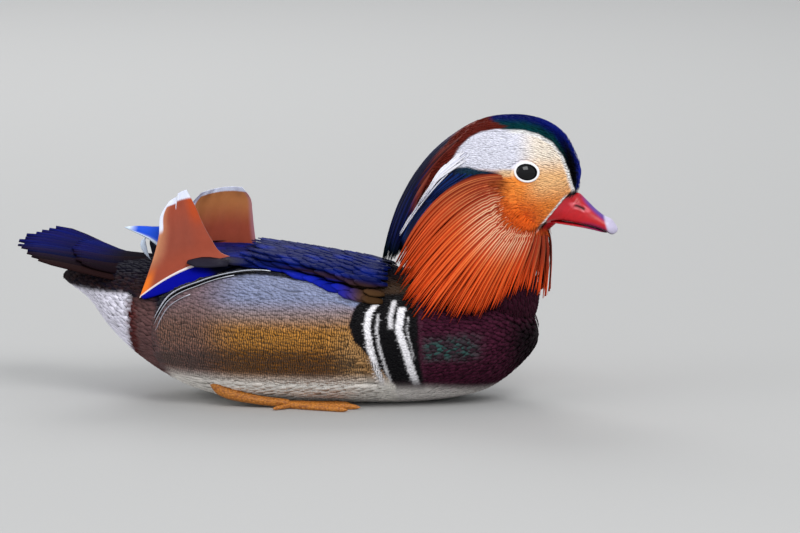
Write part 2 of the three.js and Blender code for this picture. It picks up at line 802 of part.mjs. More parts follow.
function foot(side) {
  const sign = SIDES[side];
  const from = new THREE.Vector3(ANKLE_END + GAP - 3, sign * 43, 2.2);
  const toes = TOES.map(([x, y]) =>
    solidOf(
      rod(
        [
          [0, from.x, from.y, from.z, 2.3],
          [0.5, mix(from.x, x, 0.5), sign * mix(43, y, 0.55), 1.7, 1.9],
          [0.9, mix(from.x, x, 0.9), sign * mix(43, y, 0.92), 1.5, 1.6],
          [1, x, sign * y, 1.3, 0.7],
        ],
        6,
        6,
      ),
    ),
  );
  const web = blade(2, 4, (t, s, face) => {
    const y = mix(43, mix(TOES[0][1], TOES[2][1], (s + 1) / 2), 0.1 + 0.86 * t);
    const reach = mix(20, mix(38, 33, Math.abs(s)), t);
    const x = from.x + reach * (0.08 + 0.86 * t) - 2.5 * t * (1 - Math.cos(2 * Math.PI * s)) ;
    return new THREE.Vector3(x, sign * y, face ? 1.6 : -0.4);
  });
  const hind = solidOf(
    rod(
      [
        [0, from.x + 6, sign * 42, 2, 1.5],
        [0.6, from.x - 3, sign * 50, 1.4, 1.2],
        [1, from.x - 6, sign * 53, 1.2, 0.6],
      ],
      6,
      4,
    ),
  );
  return largest(
    join([...toes, web, hind])
      .intersect(beyond([ANKLE_END + GAP, 0, 0], [1, 0, 0]))
      .intersect(floor)
      .subtract(torsoRoom),
  );
}

const group = new THREE.Group();
const paint = (color, roughness) =>
  new THREE.MeshStandardMaterial({ color, roughness, metalness: 0 });

function add(name, solid, material) {
  const { vertProperties, triVerts, numProp } = solid.getMesh();
  const count = vertProperties.length / numProp;
  const points = new Float32Array(count * 3);
  for (let i = 0; i < count; i++)
    points.set(vertProperties.subarray(i * numProp, i * numProp + 3), i * 3);
  const shape = new THREE.BufferGeometry();
  shape.setAttribute("position", new THREE.BufferAttribute(points, 3));
  shape.setIndex(new THREE.BufferAttribute(triVerts, 1));
  shape.computeVertexNormals();
  const piece = new THREE.Mesh(shape, material);
  piece.name = name;
  group.add(piece);
}

add("torso", torso(), paint(0xa87c48, 0.8));
add("neck", neck(), paint(0x3a2030, 0.8));
add("head", head(), paint(0xe0a060, 0.8));
add("crest", crest(), paint(0x1c2c60, 0.5));
add("bill_upper", upperHalf(), paint(0xb02a2c, 0.35));
add("bill_lower", lowerHalf(), paint(0xb8404a, 0.4));
add("tail", tail(), paint(0x241c1c, 0.7));
for (const [name, side] of Object.entries(SIDES)) {
  add(`eye_${name}`, eye(name), paint(0x0a0808, 0.08));
  add(`ruff_${name}`, ruff(name), paint(0xc8581e, 0.7));
  add(`wing_${name}`, wing(name), paint(0x182a6a, 0.5));
  add(`sail_${name}`, sailNode(name), paint(0xc86a1e, 0.7));
  add(`leg_${name}`, leg(name), paint(0xc8842a, 0.6));
  add(`foot_${name}`, foot(name), paint(0xc87a2a, 0.6));
}

export default group;
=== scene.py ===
"""A drake mandarin duck as it floats, with a seamless skin under feathers of solid mesh. Sizes are in millimetres and
become metres when a mesh is made. Materials, lights and the camera's distance and field are in metres."""

import math

import bpy
import numpy as np
from mathutils import Matrix, Vector


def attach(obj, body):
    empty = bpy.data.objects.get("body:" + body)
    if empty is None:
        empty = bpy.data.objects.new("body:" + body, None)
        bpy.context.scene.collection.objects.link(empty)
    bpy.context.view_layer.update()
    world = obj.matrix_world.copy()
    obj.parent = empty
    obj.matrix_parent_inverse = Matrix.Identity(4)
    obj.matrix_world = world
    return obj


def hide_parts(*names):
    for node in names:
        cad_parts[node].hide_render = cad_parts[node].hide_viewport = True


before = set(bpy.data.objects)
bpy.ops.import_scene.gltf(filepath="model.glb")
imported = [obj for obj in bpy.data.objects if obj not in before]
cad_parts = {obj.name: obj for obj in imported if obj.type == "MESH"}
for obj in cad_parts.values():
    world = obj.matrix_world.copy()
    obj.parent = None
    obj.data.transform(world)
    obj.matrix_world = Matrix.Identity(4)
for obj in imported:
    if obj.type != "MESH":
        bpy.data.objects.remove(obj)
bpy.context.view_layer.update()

MM = 0.001
RIGHT, LEFT = -1, 1
SIDES = ((RIGHT, "right"), (LEFT, "left"))
NECK_AXIS = 98.0

# Sections: place, lowest or rearmost, middle, highest or foremost, half width, squareness above and below
TORSO = [
    [-146, 64, 68, 72, 9, 2, 2],
    [-131, 56.5, 67, 77, 20, 2.2, 2],
    [-117, 38.5, 60, 78.5, 31, 2.2, 2],
    [-100, 23, 52, 79, 41, 2.3, 2],
    [-75, 8, 44, 81, 51, 2.5, 2],
    [-42, -0.4, 39, 83, 58.5, 2.6, 2.1],
    [-8, -0.8, 38, 80, 60.5, 2.6, 2.2],
    [28, -0.8, 38, 76, 57, 2.2, 2.2],
    [60, -0.3, 38, 73, 49.5, 2, 2.1],
    [88, 4, 38, 71.5, 42, 2, 2],
    [110, 12, 38.5, 68, 33, 2, 2],
    [129, 22, 39, 60, 20, 2, 2],
]
NECK = [
    [34, 76, 95, 112, 12, 2, 2],
    [48, 68, 96, 122, 21, 2, 2],
    [60, 66, 97, 125, 27.5, 2, 2],
    [72, 69, 97, 123.6, 27.5, 2, 2],
    [85, 72, 98, 121.8, 25, 2, 2],
    [98, 72, 98, 124, 23.5, 2, 2],
    [112, 72, 98, 124, 23, 2, 2],
    [126, 76, 98, 120, 20, 2, 2],
]
HEAD = [
    [58, 113, 120, 127, 7, 2, 2],
    [68, 98, 120, 142, 15.5, 2, 2],
    [82, 93, 122, 155, 21.5, 2, 2],
    [97, 91, 124, 162.3, 24.3, 2, 2],
    [112, 90, 125, 164.4, 24.5, 2.1, 2],
    [124, 93, 126, 163.4, 22.6, 2.2, 2],
    [134, 98.5, 127, 160, 18.6, 2.2, 2],
    [142, 106, 129, 154.2, 14.4, 2, 2],
    [148, 113, 131, 146, 10.8, 2, 2],
    [152.6, 122, 132.5, 140, 7, 2, 2],
]
BILL_UPPER = [
    [133, 105.6, 108.6, 117, 8.4, 2, 3],
    [142, 104.6, 107.4, 119.5, 8, 1.9, 3],
    [150.3, 103.1, 105.8, 120.2, 7.4, 1.8, 3],
    [155.5, 102.1, 104.6, 115.7, 6.8, 1.8, 3],
    [160.2, 100.9, 103.2, 111.1, 6.3, 1.9, 3],
    [165.4, 99, 101.4, 107.1, 6, 2, 3],
    [169.5, 96.4, 99.8, 105.4, 5.6, 2, 2.4],
    [172.9, 96.2, 99.4, 102.6, 4.2, 2, 2],
]
BILL_LOWER = [
    [134, 103.3, 104.2, 105.2, 7.4, 3, 2],
    [150.3, 100.9, 101.8, 102.7, 6.6, 3, 2],
    [160.2, 98.9, 99.7, 100.5, 5.6, 3, 2],
    [167, 97, 97.6, 98.2, 4, 3, 2],
]
# Upper edge of the flank: place, and degrees above the widest line of the body
FLANK_EDGE = [
    [-88, 0], [-78, 26], [-61, 41], [-45, 50], [-27, 56], [-2, 54], [15, 48], [29, 41], [50, 33],
]
# Ruff on the right: share of the way round, then root, control point and tip
RUFF = [
    [0, 114.1, -22.5, 132.6, 73.9, -32.2, 138.8, 50.1, -20, 85.1],
    [0.2, 116.9, -22.5, 122.2, 90.1, -37.8, 128.2, 52, -33, 69.7],
    [0.4, 118.5, -21, 115, 94.6, -42, 106.1, 61.5, -44, 57],
    [0.6, 121.7, -18.5, 109.4, 105.4, -42.5, 94.9, 85.1, -42, 52.5],
    [0.75, 124.9, -15.5, 106.7, 117.2, -34.8, 93.1, 101.9, -35, 55.5],
    [0.88, 128.5, -11, 104.4, 125.8, -23.5, 90, 117.9, -26, 65],
    [1, 131, -5.5, 103, 136.6, -8.5, 86.5, 132.6, -9, 59.2],
]
# Crest: share from the back edge to the front edge, then root, control point and tip along X and Z, half widths
CREST = [
    [0, 92, 161.5, 49.5, 138.5, 38.5, 82, 9, 3.5],
    [0.33, 84, 153, 51.5, 128, 41, 80, 13, 6],
    [0.66, 76, 142, 54, 116, 45, 81, 14.5, 7],
    [1, 69, 130, 56, 106, 49, 86, 12, 6],
]
# Sails: share from shaft to top, front and rear edge along X and Z, bulge, distance of both edges from the middle
SAILS = {
    RIGHT: [
        [0, -41.6, 83, -96.8, 61.7, 6, 26, 41.5],
        [0.2, -52, 86.5, -92.6, 74, 4.5, 26.5, 39],
        [0.4, -58, 95, -88.9, 86, 3.2, 26.5, 36],
        [0.6, -62.6, 103.5, -86.6, 97, 2.2, 26, 33],
        [0.8, -66.4, 112, -86.1, 107.5, 1.2, 25, 30],
        [1, -71.9, 122, -80.4, 117.3, 0.8, 23.5, 26.5],
    ],
    LEFT: [
        [0, -34, 80, -88, 63, 6, 25, 40],
        [0.2, -38, 85, -86, 74, 5, 25.5, 38],
        [0.4, -39.5, 94, -83.5, 85, 4, 25.8, 35],
        [0.6, -40.3, 102.5, -81, 95.5, 3.4, 25.6, 32],
        [0.8, -41.3, 110.5, -77.5, 105, 2.8, 25, 29],
        [1, -46, 117.4, -70, 113.5, 1.2, 23.5, 26],
    ],
}
TAIL = [
    [0, -92, 80.5, 20, 9],
    [0.3, -116, 79.5, 26, 9],
    [0.6, -140, 83.6, 33, 8.5],
    [0.85, -160, 86.3, 35, 7],
    [1, -172.9, 87.4, 33, 6],
]
# Lower border of the crown, and lower border of the white brow behind the eye, along X and Z
BROW = [
    [48.9, 96], [54, 106], [60.2, 115.5], [66.4, 124.9], [72.6, 131.7], [79.8, 140.7], [84, 148], [89.1, 152.8],
    [95.3, 156.2], [104, 157.9], [120, 157.7], [128.4, 155.4], [136.6, 150.5], [142.8, 142], [145.9, 134],
    [149, 122],
]
BAND_FOOT = [
    [48.9, 95], [54, 104.4], [60.2, 113.4], [65.4, 120.6], [70.5, 127], [74.7, 131.8], [78.8, 134.8],
    [84, 136.6], [89.1, 137], [96.3, 135.4], [104.6, 134.8], [114.4, 133],
]
# Half axes of the eyeball, its centre on the right and its turn in degrees
EYE = (7.3, 5.2, 6.0)
EYE_CENTRE = (122.6, 19.3, 134.7)
EYE_TILT = 12
# How deep the middle of the eyeball lies below the skin
EYE_SINK = 3.3
NOSTRIL = (151.6, 112.6)
# The slanting line where face feathers meet the bill: a point on it, how far it goes forward for each step up, and
# the length of such a step
BILL_EDGE = (132.5, 104.4)
BILL_SLOPE = 0.8
BILL_STEP = 1.28
# First and last places of the soft pads for flank and folded wing, and how deep their undersides lie in the torso
FLANK_PAD = (-88, 48)
WING_PAD = (44, -50)
PAD_ROOT = 3.5
SKIN_VOXEL = 1.15
# Lowest height of a feather above the floor
LEAST_HEIGHT = 0.05
# A feather's half width and length on the unrolled skin, and the free border round that
FEATHER_UV = (0.0014, 0.003)
UV_BORDER = 0.01
# Points at which a section is measured to space feathers round it
RING_POINTS = 361
# Camera: degrees round and above the bird, then distance and width of the picture in metres
AZIMUTH, ELEVATION = 6, 8.5
DISTANCE, FIELD = 4.0, 0.460
# Millimetres to a pixel of the photo, the pixel of the frame's origin, and the middle of the photo
PIXEL = 0.575
ORIGIN_PIXEL = (317, 396)
MIDDLE_PIXEL = (400, 266.5)


def along(rows, place):
    """The columns of a table at each place, on a smooth curve through its rows."""
    rows = np.array(rows, float)
    xs = rows[:, 0]
    at = np.clip(np.asarray(place, float), xs[0], xs[-1])
    i = np.clip(np.searchsorted(xs, at, side="right") - 1, 0, len(xs) - 2)
    lo = np.maximum(np.arange(len(xs)) - 1, 0)
    hi = np.minimum(np.arange(len(xs)) + 1, len(xs) - 1)
    slope = (rows[hi] - rows[lo]) / (xs[hi] - xs[lo])[:, None]
    span = (xs[i + 1] - xs[i])[..., None]
    t = ((at - xs[i]) / span[..., 0])[..., None]
    return (
        rows[i] * (2 * t**3 - 3 * t**2 + 1)
        + rows[i + 1] * (3 * t**2 - 2 * t**3)
        + slope[i] * span * (t**3 - 2 * t**2 + t)
        + slope[i + 1] * span * (t**3 - t**2)
    )


def columns(rows, place):
    """The same as along, column by column."""
    return np.moveaxis(along(rows, place), -1, 0)


def line(rows, place):
    """A border's second value at each place, on straight pieces between its points."""
    return np.interp(place, *np.array(rows, float).T)


def flank_edge(x):
    return np.maximum(0, along(FLANK_EDGE, x)[..., 1])


def mix(a, b, t):
    return a + (b - a) * t


def smooth(lo, hi, x):
    """A soft step from 0 at lo to 1 at hi, which may be the smaller of the two."""
    t = np.clip((np.asarray(x, float) - lo) / (hi - lo), 0, 1)
    return t * t * (3 - 2 * t)


def shares(count):
    return np.linspace(0, 1, count)


def turns(count):
    """Angles evenly spaced round a full turn."""
    return np.linspace(0, 2 * np.pi, count, endpoint=False)


def grid_of(rows, cols):
    """Two grids, one that changes from row to row and one from column to column."""
    return np.meshgrid(rows, cols, indexing="ij")


def unit(v):
    return v / np.maximum(np.linalg.norm(v, axis=-1, keepdims=True), 1e-9)


def rgb(code):
    """A colour from its usual six digits, as the renderer's linear values."""
    c = np.array([int(code[i : i + 2], 16) / 255 for i in (0, 2, 4)])
    return np.where(c <= 0.04045, c / 12.92, ((c + 0.055) / 1.055) ** 2.4)


def blend(base, *layers):
    """A colour with others laid over it in turn, each followed by its amount. Colours may be six-digit codes."""
    colour = rgb(base) if isinstance(base, str) else base
    for other, amount in zip(layers[::2], layers[1::2]):
        other = rgb(other) if isinstance(other, str) else other
        colour = mix(colour, other, np.clip(amount, 0, 1)[..., None])
    return colour


def bend(root, control, tip, t):
    """Points on a curve from root to tip that is drawn towards a control point."""
    return (1 - t) ** 2 * root + 2 * t * (1 - t) * control + t * t * tip


def lean(p):
    """Angle above the widest line of the body, in degrees, for points near the torso."""
    _, low, middle, high, _, upper, lower = columns(TORSO, p[..., 0])
    rise = p[..., 2] - middle
    share = np.clip(np.abs(rise) / np.where(rise > 0, high - middle, middle - low), 0, 1)
    return np.degrees(np.sign(rise) * np.arcsin(share ** (np.where(rise > 0, upper, lower) / 2)))


class Form:
    """A rounded body along a table of sections, closed by a dome at each end."""

    def __init__(self, rows, domes, upright=False):
        self.rows = rows
        self.domes = domes
        self.upright = upright
        self.start = rows[0][0]
        self.end = rows[-1][0]

    def point(self, place, angle):
        place, angle = np.broadcast_arrays(np.asarray(place, float), np.asarray(angle, float))
        _, low, middle, high, half, upper, lower = columns(self.rows, place)

        def ease(distance, dome):
            return np.sqrt(1 - np.clip(1 - distance / dome, 0, 1) ** 2)

        dome = np.minimum(ease(place - self.start, self.domes[0]), ease(self.end - place, self.domes[1]))
        rise, run = np.sin(angle), np.cos(angle)
        exponent = 2 / np.where(rise > 0, upper, lower)
        tall = np.where(rise > 0, high - middle, middle - low) * dome
        across = -np.sign(run) * np.abs(run) ** exponent * half * dome
        up = middle + np.sign(rise) * np.abs(rise) ** exponent * tall
        return np.stack([up, across, place] if self.upright else [place, across, up], -1)

    def frame(self, place, angle):
        """Point, outward normal, and the steps for one unit of place and of angle."""
        place = np.clip(place, self.start + 0.3, self.end - 0.3)
        p = self.point(place, angle)
        by_place = (self.point(place + 0.2, angle) - self.point(place - 0.2, angle)) / 0.4
        by_angle = (self.point(place, angle + 0.01) - self.point(place, angle - 0.01)) / 0.02
        normal = unit(np.cross(by_place, by_angle))
        inner = p * (1, 0, 1)
        if self.upright:
            inner[..., 0] = NECK_AXIS
        else:
            inner[..., 2] = along(self.rows, place)[..., 2]
        flip = np.sign(np.sum(normal * (p - inner), -1, keepdims=True))
        return p, normal * np.where(flip == 0, 1, flip), by_place, by_angle

    def surface(self, around, steps, sink=0.0):
        """The closed surface as vertices and faces, moved inwards by sink."""
        t = shares(steps + 1)
        eased = mix(t, 0.5 - 0.5 * np.cos(np.pi * t), 0.55)
        place = mix(self.start + 0.02, self.end - 0.02, eased)
        angle = turns(around)
        grid = self.point(place[:, None], angle[None, :])
        if sink:
            _, normal, _, _ = self.frame(*grid_of(place, angle))
            grid = grid - normal * sink
        return tube_mesh(grid)


def tube_mesh(grid):
    """Closes a stack of rings, each ring's points side by side, with a fan at either end."""
    rings, around = grid.shape[:2]
    verts = grid.reshape(-1, 3)
    faces = []
    for i in range(rings - 1):
        for k in range(around):
            a, b = i * around + k, i * around + (k + 1) % around
            faces.append((a, b, b + around, a + around))
    verts = np.vstack([verts, grid[0].mean(0), grid[-1].mean(0)])
    first, last = len(verts) - 2, len(verts) - 1
    base = (rings - 1) * around
    for k in range(around):
        faces.append(((k + 1) % around, k, first))
        faces.append((base + k, base + (k + 1) % around, last))
    return verts, faces


def blade_mesh(grid_top, grid_bottom):
    """A closed thin sheet between two grids of the same size."""
    n, m = grid_top.shape[:2]
    verts = np.vstack([grid_top.reshape(-1, 3), grid_bottom.reshape(-1, 3)])
    at = np.arange(n * m).reshape(n, m)
    off = n * m
    faces = []
    for i in range(n - 1):
        for j in range(m - 1):
            a, b, c, d = at[i, j], at[i, j + 1], at[i + 1, j + 1], at[i + 1, j]
            faces += [(a, b, c, d), (a + off, d + off, c + off, b + off)]
    rim = list(at[0, :]) + list(at[1:, -1]) + list(at[-1, -2::-1]) + list(at[-2:0:-1, 0])
    for a, b in zip(rim, rim[1:] + rim[:1]):
        faces.append((b, a, a + off, b + off))
    return verts, faces


def joined(parts):
    """Several bodies as one set of vertices and faces."""
    verts, faces, base = [], [], 0
    for v, f in parts:
        verts.append(np.asarray(v))
        faces += [tuple(int(i) + base for i in face) for face in f]
        base += len(v)
    return np.vstack(verts), faces


torso = Form(TORSO, (14, 34))
neck = Form(NECK, (8, 10), upright=True)
head = Form(HEAD, (10, 9))


# Meshes and their data
def add_object(name, data):
    obj = bpy.data.objects.new(name, data)
    bpy.context.scene.collection.objects.link(obj)
    return obj


def make(name, verts, faces, material, smooth_faces=True):
    mesh = bpy.data.meshes.new(name)
    mesh.from_pydata((np.asarray(verts) * MM).tolist(), [], [tuple(int(i) for i in f) for f in faces])
    mesh.validate()
    mesh.update()
    if smooth_faces:
        mesh.polygons.foreach_set("use_smooth", [True] * len(mesh.polygons))
    mesh.materials.append(material)
    return add_object(name, mesh)


def paint(mesh, colours):
    """Gives each vertex its tone. A fourth value says how finely it is waved."""
    layer = mesh.color_attributes.new(name="tone", type="FLOAT_COLOR", domain="POINT")
    rgba = np.zeros((len(mesh.vertices), 4))
    rgba[:, : colours.shape[-1]] = np.clip(colours, 0, 1)
    layer.data.foreach_set("color", rgba.ravel())
    mesh.color_attributes.active_color = layer


def set_vane(mesh, places):
    """Tells each vertex where on its feather it lies: across, along, and a number of the feather's own."""
    layer = mesh.attributes.new("vane", "FLOAT_VECTOR", "POINT")
    layer.data.foreach_set("vector", places.ravel())


def settle(piece, slot, *nodes):
    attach(piece, "root")
    if nodes:
        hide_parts(*nodes)


def sheet(name, top, bottom, tone, vane, material, slot, *nodes):
    """A closed thin piece between two grids, with the same tone and vane on both faces."""
    verts, faces = blade_mesh(top, bottom)
    obj = make(name, verts, faces, material)
    paint(obj.data, np.tile(tone.reshape(-1, 3), (2, 1)))
    set_vane(obj.data, np.tile(vane.reshape(-1, 3), (2, 1)))
    settle(obj, slot, *nodes)


def blades(name, V):
    """One mesh of many closed blades. V holds their vertices, blade by step by column."""
    count, steps, cols, _ = V.shape
    base = np.arange(count)[:, None] * (steps * cols)
    ids = np.arange(steps * cols).reshape(steps, cols)
    upper = np.stack([ids[:-1, :-1], ids[:-1, 1:], ids[1:, 1:], ids[1:, :-1]], -1).reshape(-1, 4)
    lower = np.stack([ids[:-1, -1], ids[:-1, 0], ids[1:, 0], ids[1:, -1]], -1)
    faces = (base[:, :, None] + np.concatenate([upper, lower])[None]).reshape(-1, 4)
    caps = np.concatenate([base + ids[0, ::-1], base + ids[-1]])
    loops = np.concatenate([faces.ravel(), caps.ravel()])
    starts = np.concatenate([np.arange(len(faces)) * 4, len(faces) * 4 + np.arange(len(caps)) * cols])
    mesh = bpy.data.meshes.new(name)
    mesh.vertices.add(count * steps * cols)
    mesh.vertices.foreach_set("co", (V * MM).ravel())
    mesh.loops.add(len(loops))
    mesh.loops.foreach_set("vertex_index", loops.astype(np.int32))
    mesh.polygons.add(len(starts))
    mesh.polygons.foreach_set("loop_start", starts.astype(np.int32))
    mesh.polygons.foreach_set("use_smooth", np.ones(len(starts), bool))
    mesh.update(calc_edges=True)
    mesh.validate()
    return mesh


def coat(name, material, slot, nodes, P, N, half, crown, colour, unwrap, cols=3):
    """Makes one joined mesh of many feathers. P holds the middle lines, feather by step, N the outward directions,
    half the half widths, crown how much each feather is arched, colour the tone at every step and column,
    unwrap the place of each root on the unrolled skin."""
    count, steps = P.shape[:2]
    ahead = unit(np.gradient(P, axis=1))
    side = unit(np.cross(N, ahead))
    out = np.cross(ahead, side)
    s = np.linspace(-1, 1, cols)
    t = shares(steps)
    half = np.broadcast_to(half, (count, steps))
    crown = np.broadcast_to(crown, (count, steps))
    V = (
        P[:, :, None]
        + side[:, :, None] * (half[..., None] * s)[..., None]
        + out[:, :, None] * (crown[..., None] * (1 - s * s))[..., None]
    )
    V[..., 2] = np.maximum(V[..., 2], LEAST_HEIGHT)
    mesh = blades(name, V)
    if callable(colour):
        colour = colour(V)
    elif colour.ndim == 3:
        colour = np.repeat(colour[:, :, None], cols, 2)
    paint(mesh, colour.reshape(count * steps * cols, -1))
    vane = np.zeros((count, steps, cols, 3))
    vane[..., 0] = s
    vane[..., 1] = t[:, None]
    vane[..., 2] = rng.random(count)[:, None, None]
    set_vane(mesh, vane)
    patch = np.stack(np.meshgrid(s * FEATHER_UV[0], t * FEATHER_UV[1]), -1)
    uv = unwrap[:, None, None, :] * (1 - 2 * UV_BORDER) + UV_BORDER + patch
    index = np.zeros(len(mesh.loops), np.int32)
    mesh.loops.foreach_get("vertex_index", index)
    layer = mesh.uv_layers.new(name="OFBake")
    layer.data.foreach_set("uv", uv.reshape(-1, 2)[index].ravel())
    mesh.materials.append(material)
    settle(add_object(name, mesh), slot, *nodes)


rng = np.random.default_rng(17)


def vary(shape, amount):
    return rng.uniform(-amount, amount, shape)


def both(*makers):
    """Makes the right side's pieces, then the left side's."""
    for side, name in SIDES:
        for maker in makers:
            maker(side, name)


# Materials
FULL_TURN = 6.283
BARB_SLANT = 3.0


def nodes_of(name):
    material = bpy.data.materials.new(name)
    material.use_nodes = True
    tree = material.node_tree
    return material, tree, tree.nodes["Principled BSDF"]


def fill(tree, node, inputs):
    """Sets each input to a value, or links another node's output to it."""
    for key, value in inputs.items():
        if isinstance(value, bpy.types.NodeSocket):
            tree.links.new(value, node.inputs[key])
        else:
            node.inputs[key].default_value = value


def add(tree, kind, inputs, **settings):
    """Adds a node with its inputs and its other settings, and gives its outputs."""
    node = tree.nodes.new("ShaderNode" + kind)
    for key, value in settings.items():
        setattr(node, key, value)
    fill(tree, node, inputs)
    return node.outputs


def math_node(tree, operation, *values):
    return add(tree, "Math", dict(enumerate(values)), operation=operation)[0]


def scaled(tree, colour, gain):
    return add(tree, "VectorMath", {0: colour, "Scale": gain}, operation="SCALE")[0]


def attribute(tree, name):
    return add(tree, "Attribute", {}, attribute_name=name)


def object_place(tree):
    return add(tree, "TexCoord", {})["Object"]


def bump(tree, height, strength, distance):
    return add(tree, "Bump", {"Height": height, "Strength": strength, "Distance": distance})[0]


def noise(tree, scale, detail=3.0, stretch=None):
    where = object_place(tree)
    if stretch:
        where = add(tree, "Mapping", {"Vector": where, "Scale": stretch})["Vector"]
    return add(tree, "TexNoise", {"Vector": where, "Scale": scale, "Detail": detail})["Fac"]


def feather_material(name, roughness, sheen, metal, spread, barbs, relief, gloss, ior, wavy=False):
    """Feather colour from its own tone, with fine barbs that run out from the shaft, and a slight unevenness."""
    material, tree, shader = nodes_of(name)
    tone = attribute(tree, "tone")
    split = add(tree, "SeparateXYZ", {0: attribute(tree, "vane")["Vector"]})
    phase = math_node(tree, "MULTIPLY", split[1], barbs)
    slant = math_node(tree, "MULTIPLY", math_node(tree, "ABSOLUTE", split[0]), BARB_SLANT)
    angle = math_node(tree, "MULTIPLY", math_node(tree, "SUBTRACT", phase, slant), FULL_TURN)
    ripple = math_node(tree, "SINE", angle)
    uneven = math_node(tree, "MULTIPLY_ADD", noise(tree, 320.0), spread, 1.0 - spread / 2)
    light = math_node(tree, "MULTIPLY_ADD", split[2], 0.22, 0.89)
    fine = math_node(tree, "MULTIPLY_ADD", ripple, 0.05, 1.0)
    gain = math_node(tree, "MULTIPLY", math_node(tree, "MULTIPLY", uneven, light), fine)
    colour = scaled(tree, tone["Color"], gain)
    fill(tree, shader, {
        "Base Color": waved(tree, colour, tone["Alpha"]) if wavy else colour,
        "Normal": bump(tree, ripple, relief, 0.0002),
        "Roughness": roughness,
        "Metallic": metal,
        "Specular IOR Level": gloss,
        "Sheen Weight": sheen,
        "Sheen Roughness": 0.4,
        "IOR": ior,
    })
    return material


def waved(tree, colour, amount):
    """Darkens a colour by fine wavy lines that cross the feathers."""
    lines = {"Vector": object_place(tree), "Scale": 250.0, "Distortion": 7.0, "Detail": 1.5, "Detail Scale": 1.2}
    waves = add(tree, "TexWave", lines, wave_type="BANDS", bands_direction="X")
    shade_by = math_node(tree, "MULTIPLY", waves["Fac"], amount)
    return scaled(tree, colour, math_node(tree, "SUBTRACT", 1.0, shade_by))


def mottled(name, cloud, spread, relief, settings):
    """A piece's own tone made uneven by a cloud of noise, which also gives the relief."""
    material, tree, shader = nodes_of(name)
    height = noise(tree, *cloud)
    gain = math_node(tree, "MULTIPLY_ADD", height, spread, 1.0 - spread / 2)
    colour = scaled(tree, attribute(tree, "tone")["Color"], gain)
    fill(tree, shader, {"Base Color": colour, "Normal": bump(tree, height, *relief), **settings})
    return material


def skin_material(name, roughness):
    settings = {"Roughness": roughness, "Specular IOR Level": 0.06}
    return mottled(name, (900.0, 4.0, (1, 3, 3)), 0.5, (0.5, 0.0004), settings)


# Markings: the same functions colour the skin and the feathers
def bill_border(x, z):
    """Distance ahead of the slanting line where face feathers meet the bill."""
    return (x - BILL_EDGE[0] - BILL_SLOPE * (z - BILL_EDGE[1])) / BILL_STEP


def nostril(x, z):
    """Distance from the nostril, as a share of its size."""
    along_slit = (x - NOSTRIL[0] + 0.55 * (z - NOSTRIL[1])) / 2.4
    return np.hypot(along_slit, (z - NOSTRIL[1] + 0.3 * (x - NOSTRIL[0])) / 0.9)


def bill_tone(p):
    x, z = p[..., 0], p[..., 2]
    _, low, _, high, _, _, _ = columns(BILL_UPPER, x)
    slit = nostril(x, z)
    return blend(
        "b80a18",
        "cc2c3c", smooth(150, 142, x) * smooth(108, 113, z) * 0.6,
        "6c1450", smooth(3.5, 0.5, z - low) * smooth(148, 160, x) * 0.8,
        # Painted reflection: a blue-violet sheen along the top of the bill's front half.
        "3c3c9c", smooth(3.4, 0.6, high - z) * smooth(150, 157, x) * 0.85,
        "c3bcd6", smooth(165.2, 166.8, x - 0.3 * (104 - z)),
        "3c1c30", smooth(1.8, 0.4, z - low) * smooth(164, 167, x) * 0.85,
        "e8707c", np.exp(-(((slit - 1.7) / 0.4) ** 2)) * 0.6,
        # Painted shade: the nostril's opening, dark inside its shallow dent.
        "1c0206", smooth(1.3, 0.8, slit),
    )


def head_tone(p):
    """Crown, brow, wedge behind the eye, cheek, throat and the line round the bill."""
    x, y, z = p[..., 0], np.abs(p[..., 1]), p[..., 2]
    crown = line(BROW, x)
    foot = line(BAND_FOOT, x)
    corner = smooth(104, 110, x) * smooth(119, 114, x) * smooth(137, 135, z) * smooth(131, 133, z)
    front = np.interp(z, [122, 132, 142.7, 150.9, 158], [149, 146.5, 142.8, 136.6, 132])
    rim = np.minimum(crown - z, front - x)
    wedge = smooth(foot + 0.5, foot - 0.5, z) * smooth(112, 102, x)
    ragged = 1.6 * np.sin(z * 3.1 + y) + 1.1 * np.sin(y * 2.3 + 1)
    blue = blend(
        "083a40",
        "08125c", smooth(crown + 2.5, crown + 6, z),
        "0a1a7c", smooth(8, 4, y) * smooth(120, 134, x),
        "04050c", smooth(137, 146, x) * smooth(4, 8, y),
        "64221a", smooth(113, 109, x + 2.2 * (z - 158) + ragged) * smooth(121, 115, x),
    )
    ahead = bill_border(x, z)
    streak = np.abs(z - 98.6 - 0.62 * (x - 124)) + 3 * smooth(133, 136, x) + 3 * smooth(125, 121, x)
    return blend(
        "f8923c",
        "e8641c", smooth(126, 108, z) * smooth(140, 122, x),
        "fcc488", smooth(114, 129, z) * smooth(118, 132, x),
        "fef0de", smooth(131, 145, z),
        "ececfa", smooth(130, 114, x) * smooth(133, 137, z),
        "f6d3a4", corner * 0.8,
        "fffdfc", smooth(2.6, 1.2, rim) * smooth(108, 116, x),
        "071038", wedge,
        "0b3c4c", wedge * smooth(78, 88, x) * smooth(106, 96, x) * 0.6,
        blue, smooth(crown - 0.4, crown + 0.4, z),
        "fffdfc", smooth(-1.7, -1.1, ahead) * smooth(-0.2, -0.5, ahead) * smooth(121, 119, z),
        "0b0709", smooth(-0.5, -0.1, ahead) * smooth(124, 121, z),
        "b81020", smooth(0.5, 0.9, ahead) * smooth(119, 117, z),
        "3c140c", smooth(1.6, 0.7, streak) * 0.85,
        "6a1c0c", smooth(103, 98, z) * smooth(1.0, 2.2, streak),
    )


# Borders of the patch at the side of the breast as height and place along X
PATCH_REAR = [(14, 50), (25, 42), (34.5, 34.4), (41.4, 27.5), (51, 24.5), (59.7, 27.5), (64.6, 33.3)]
PATCH_FRONT = [(14, 66), (34, 64), (45, 63.5), (55, 62.5), (66, 60)]
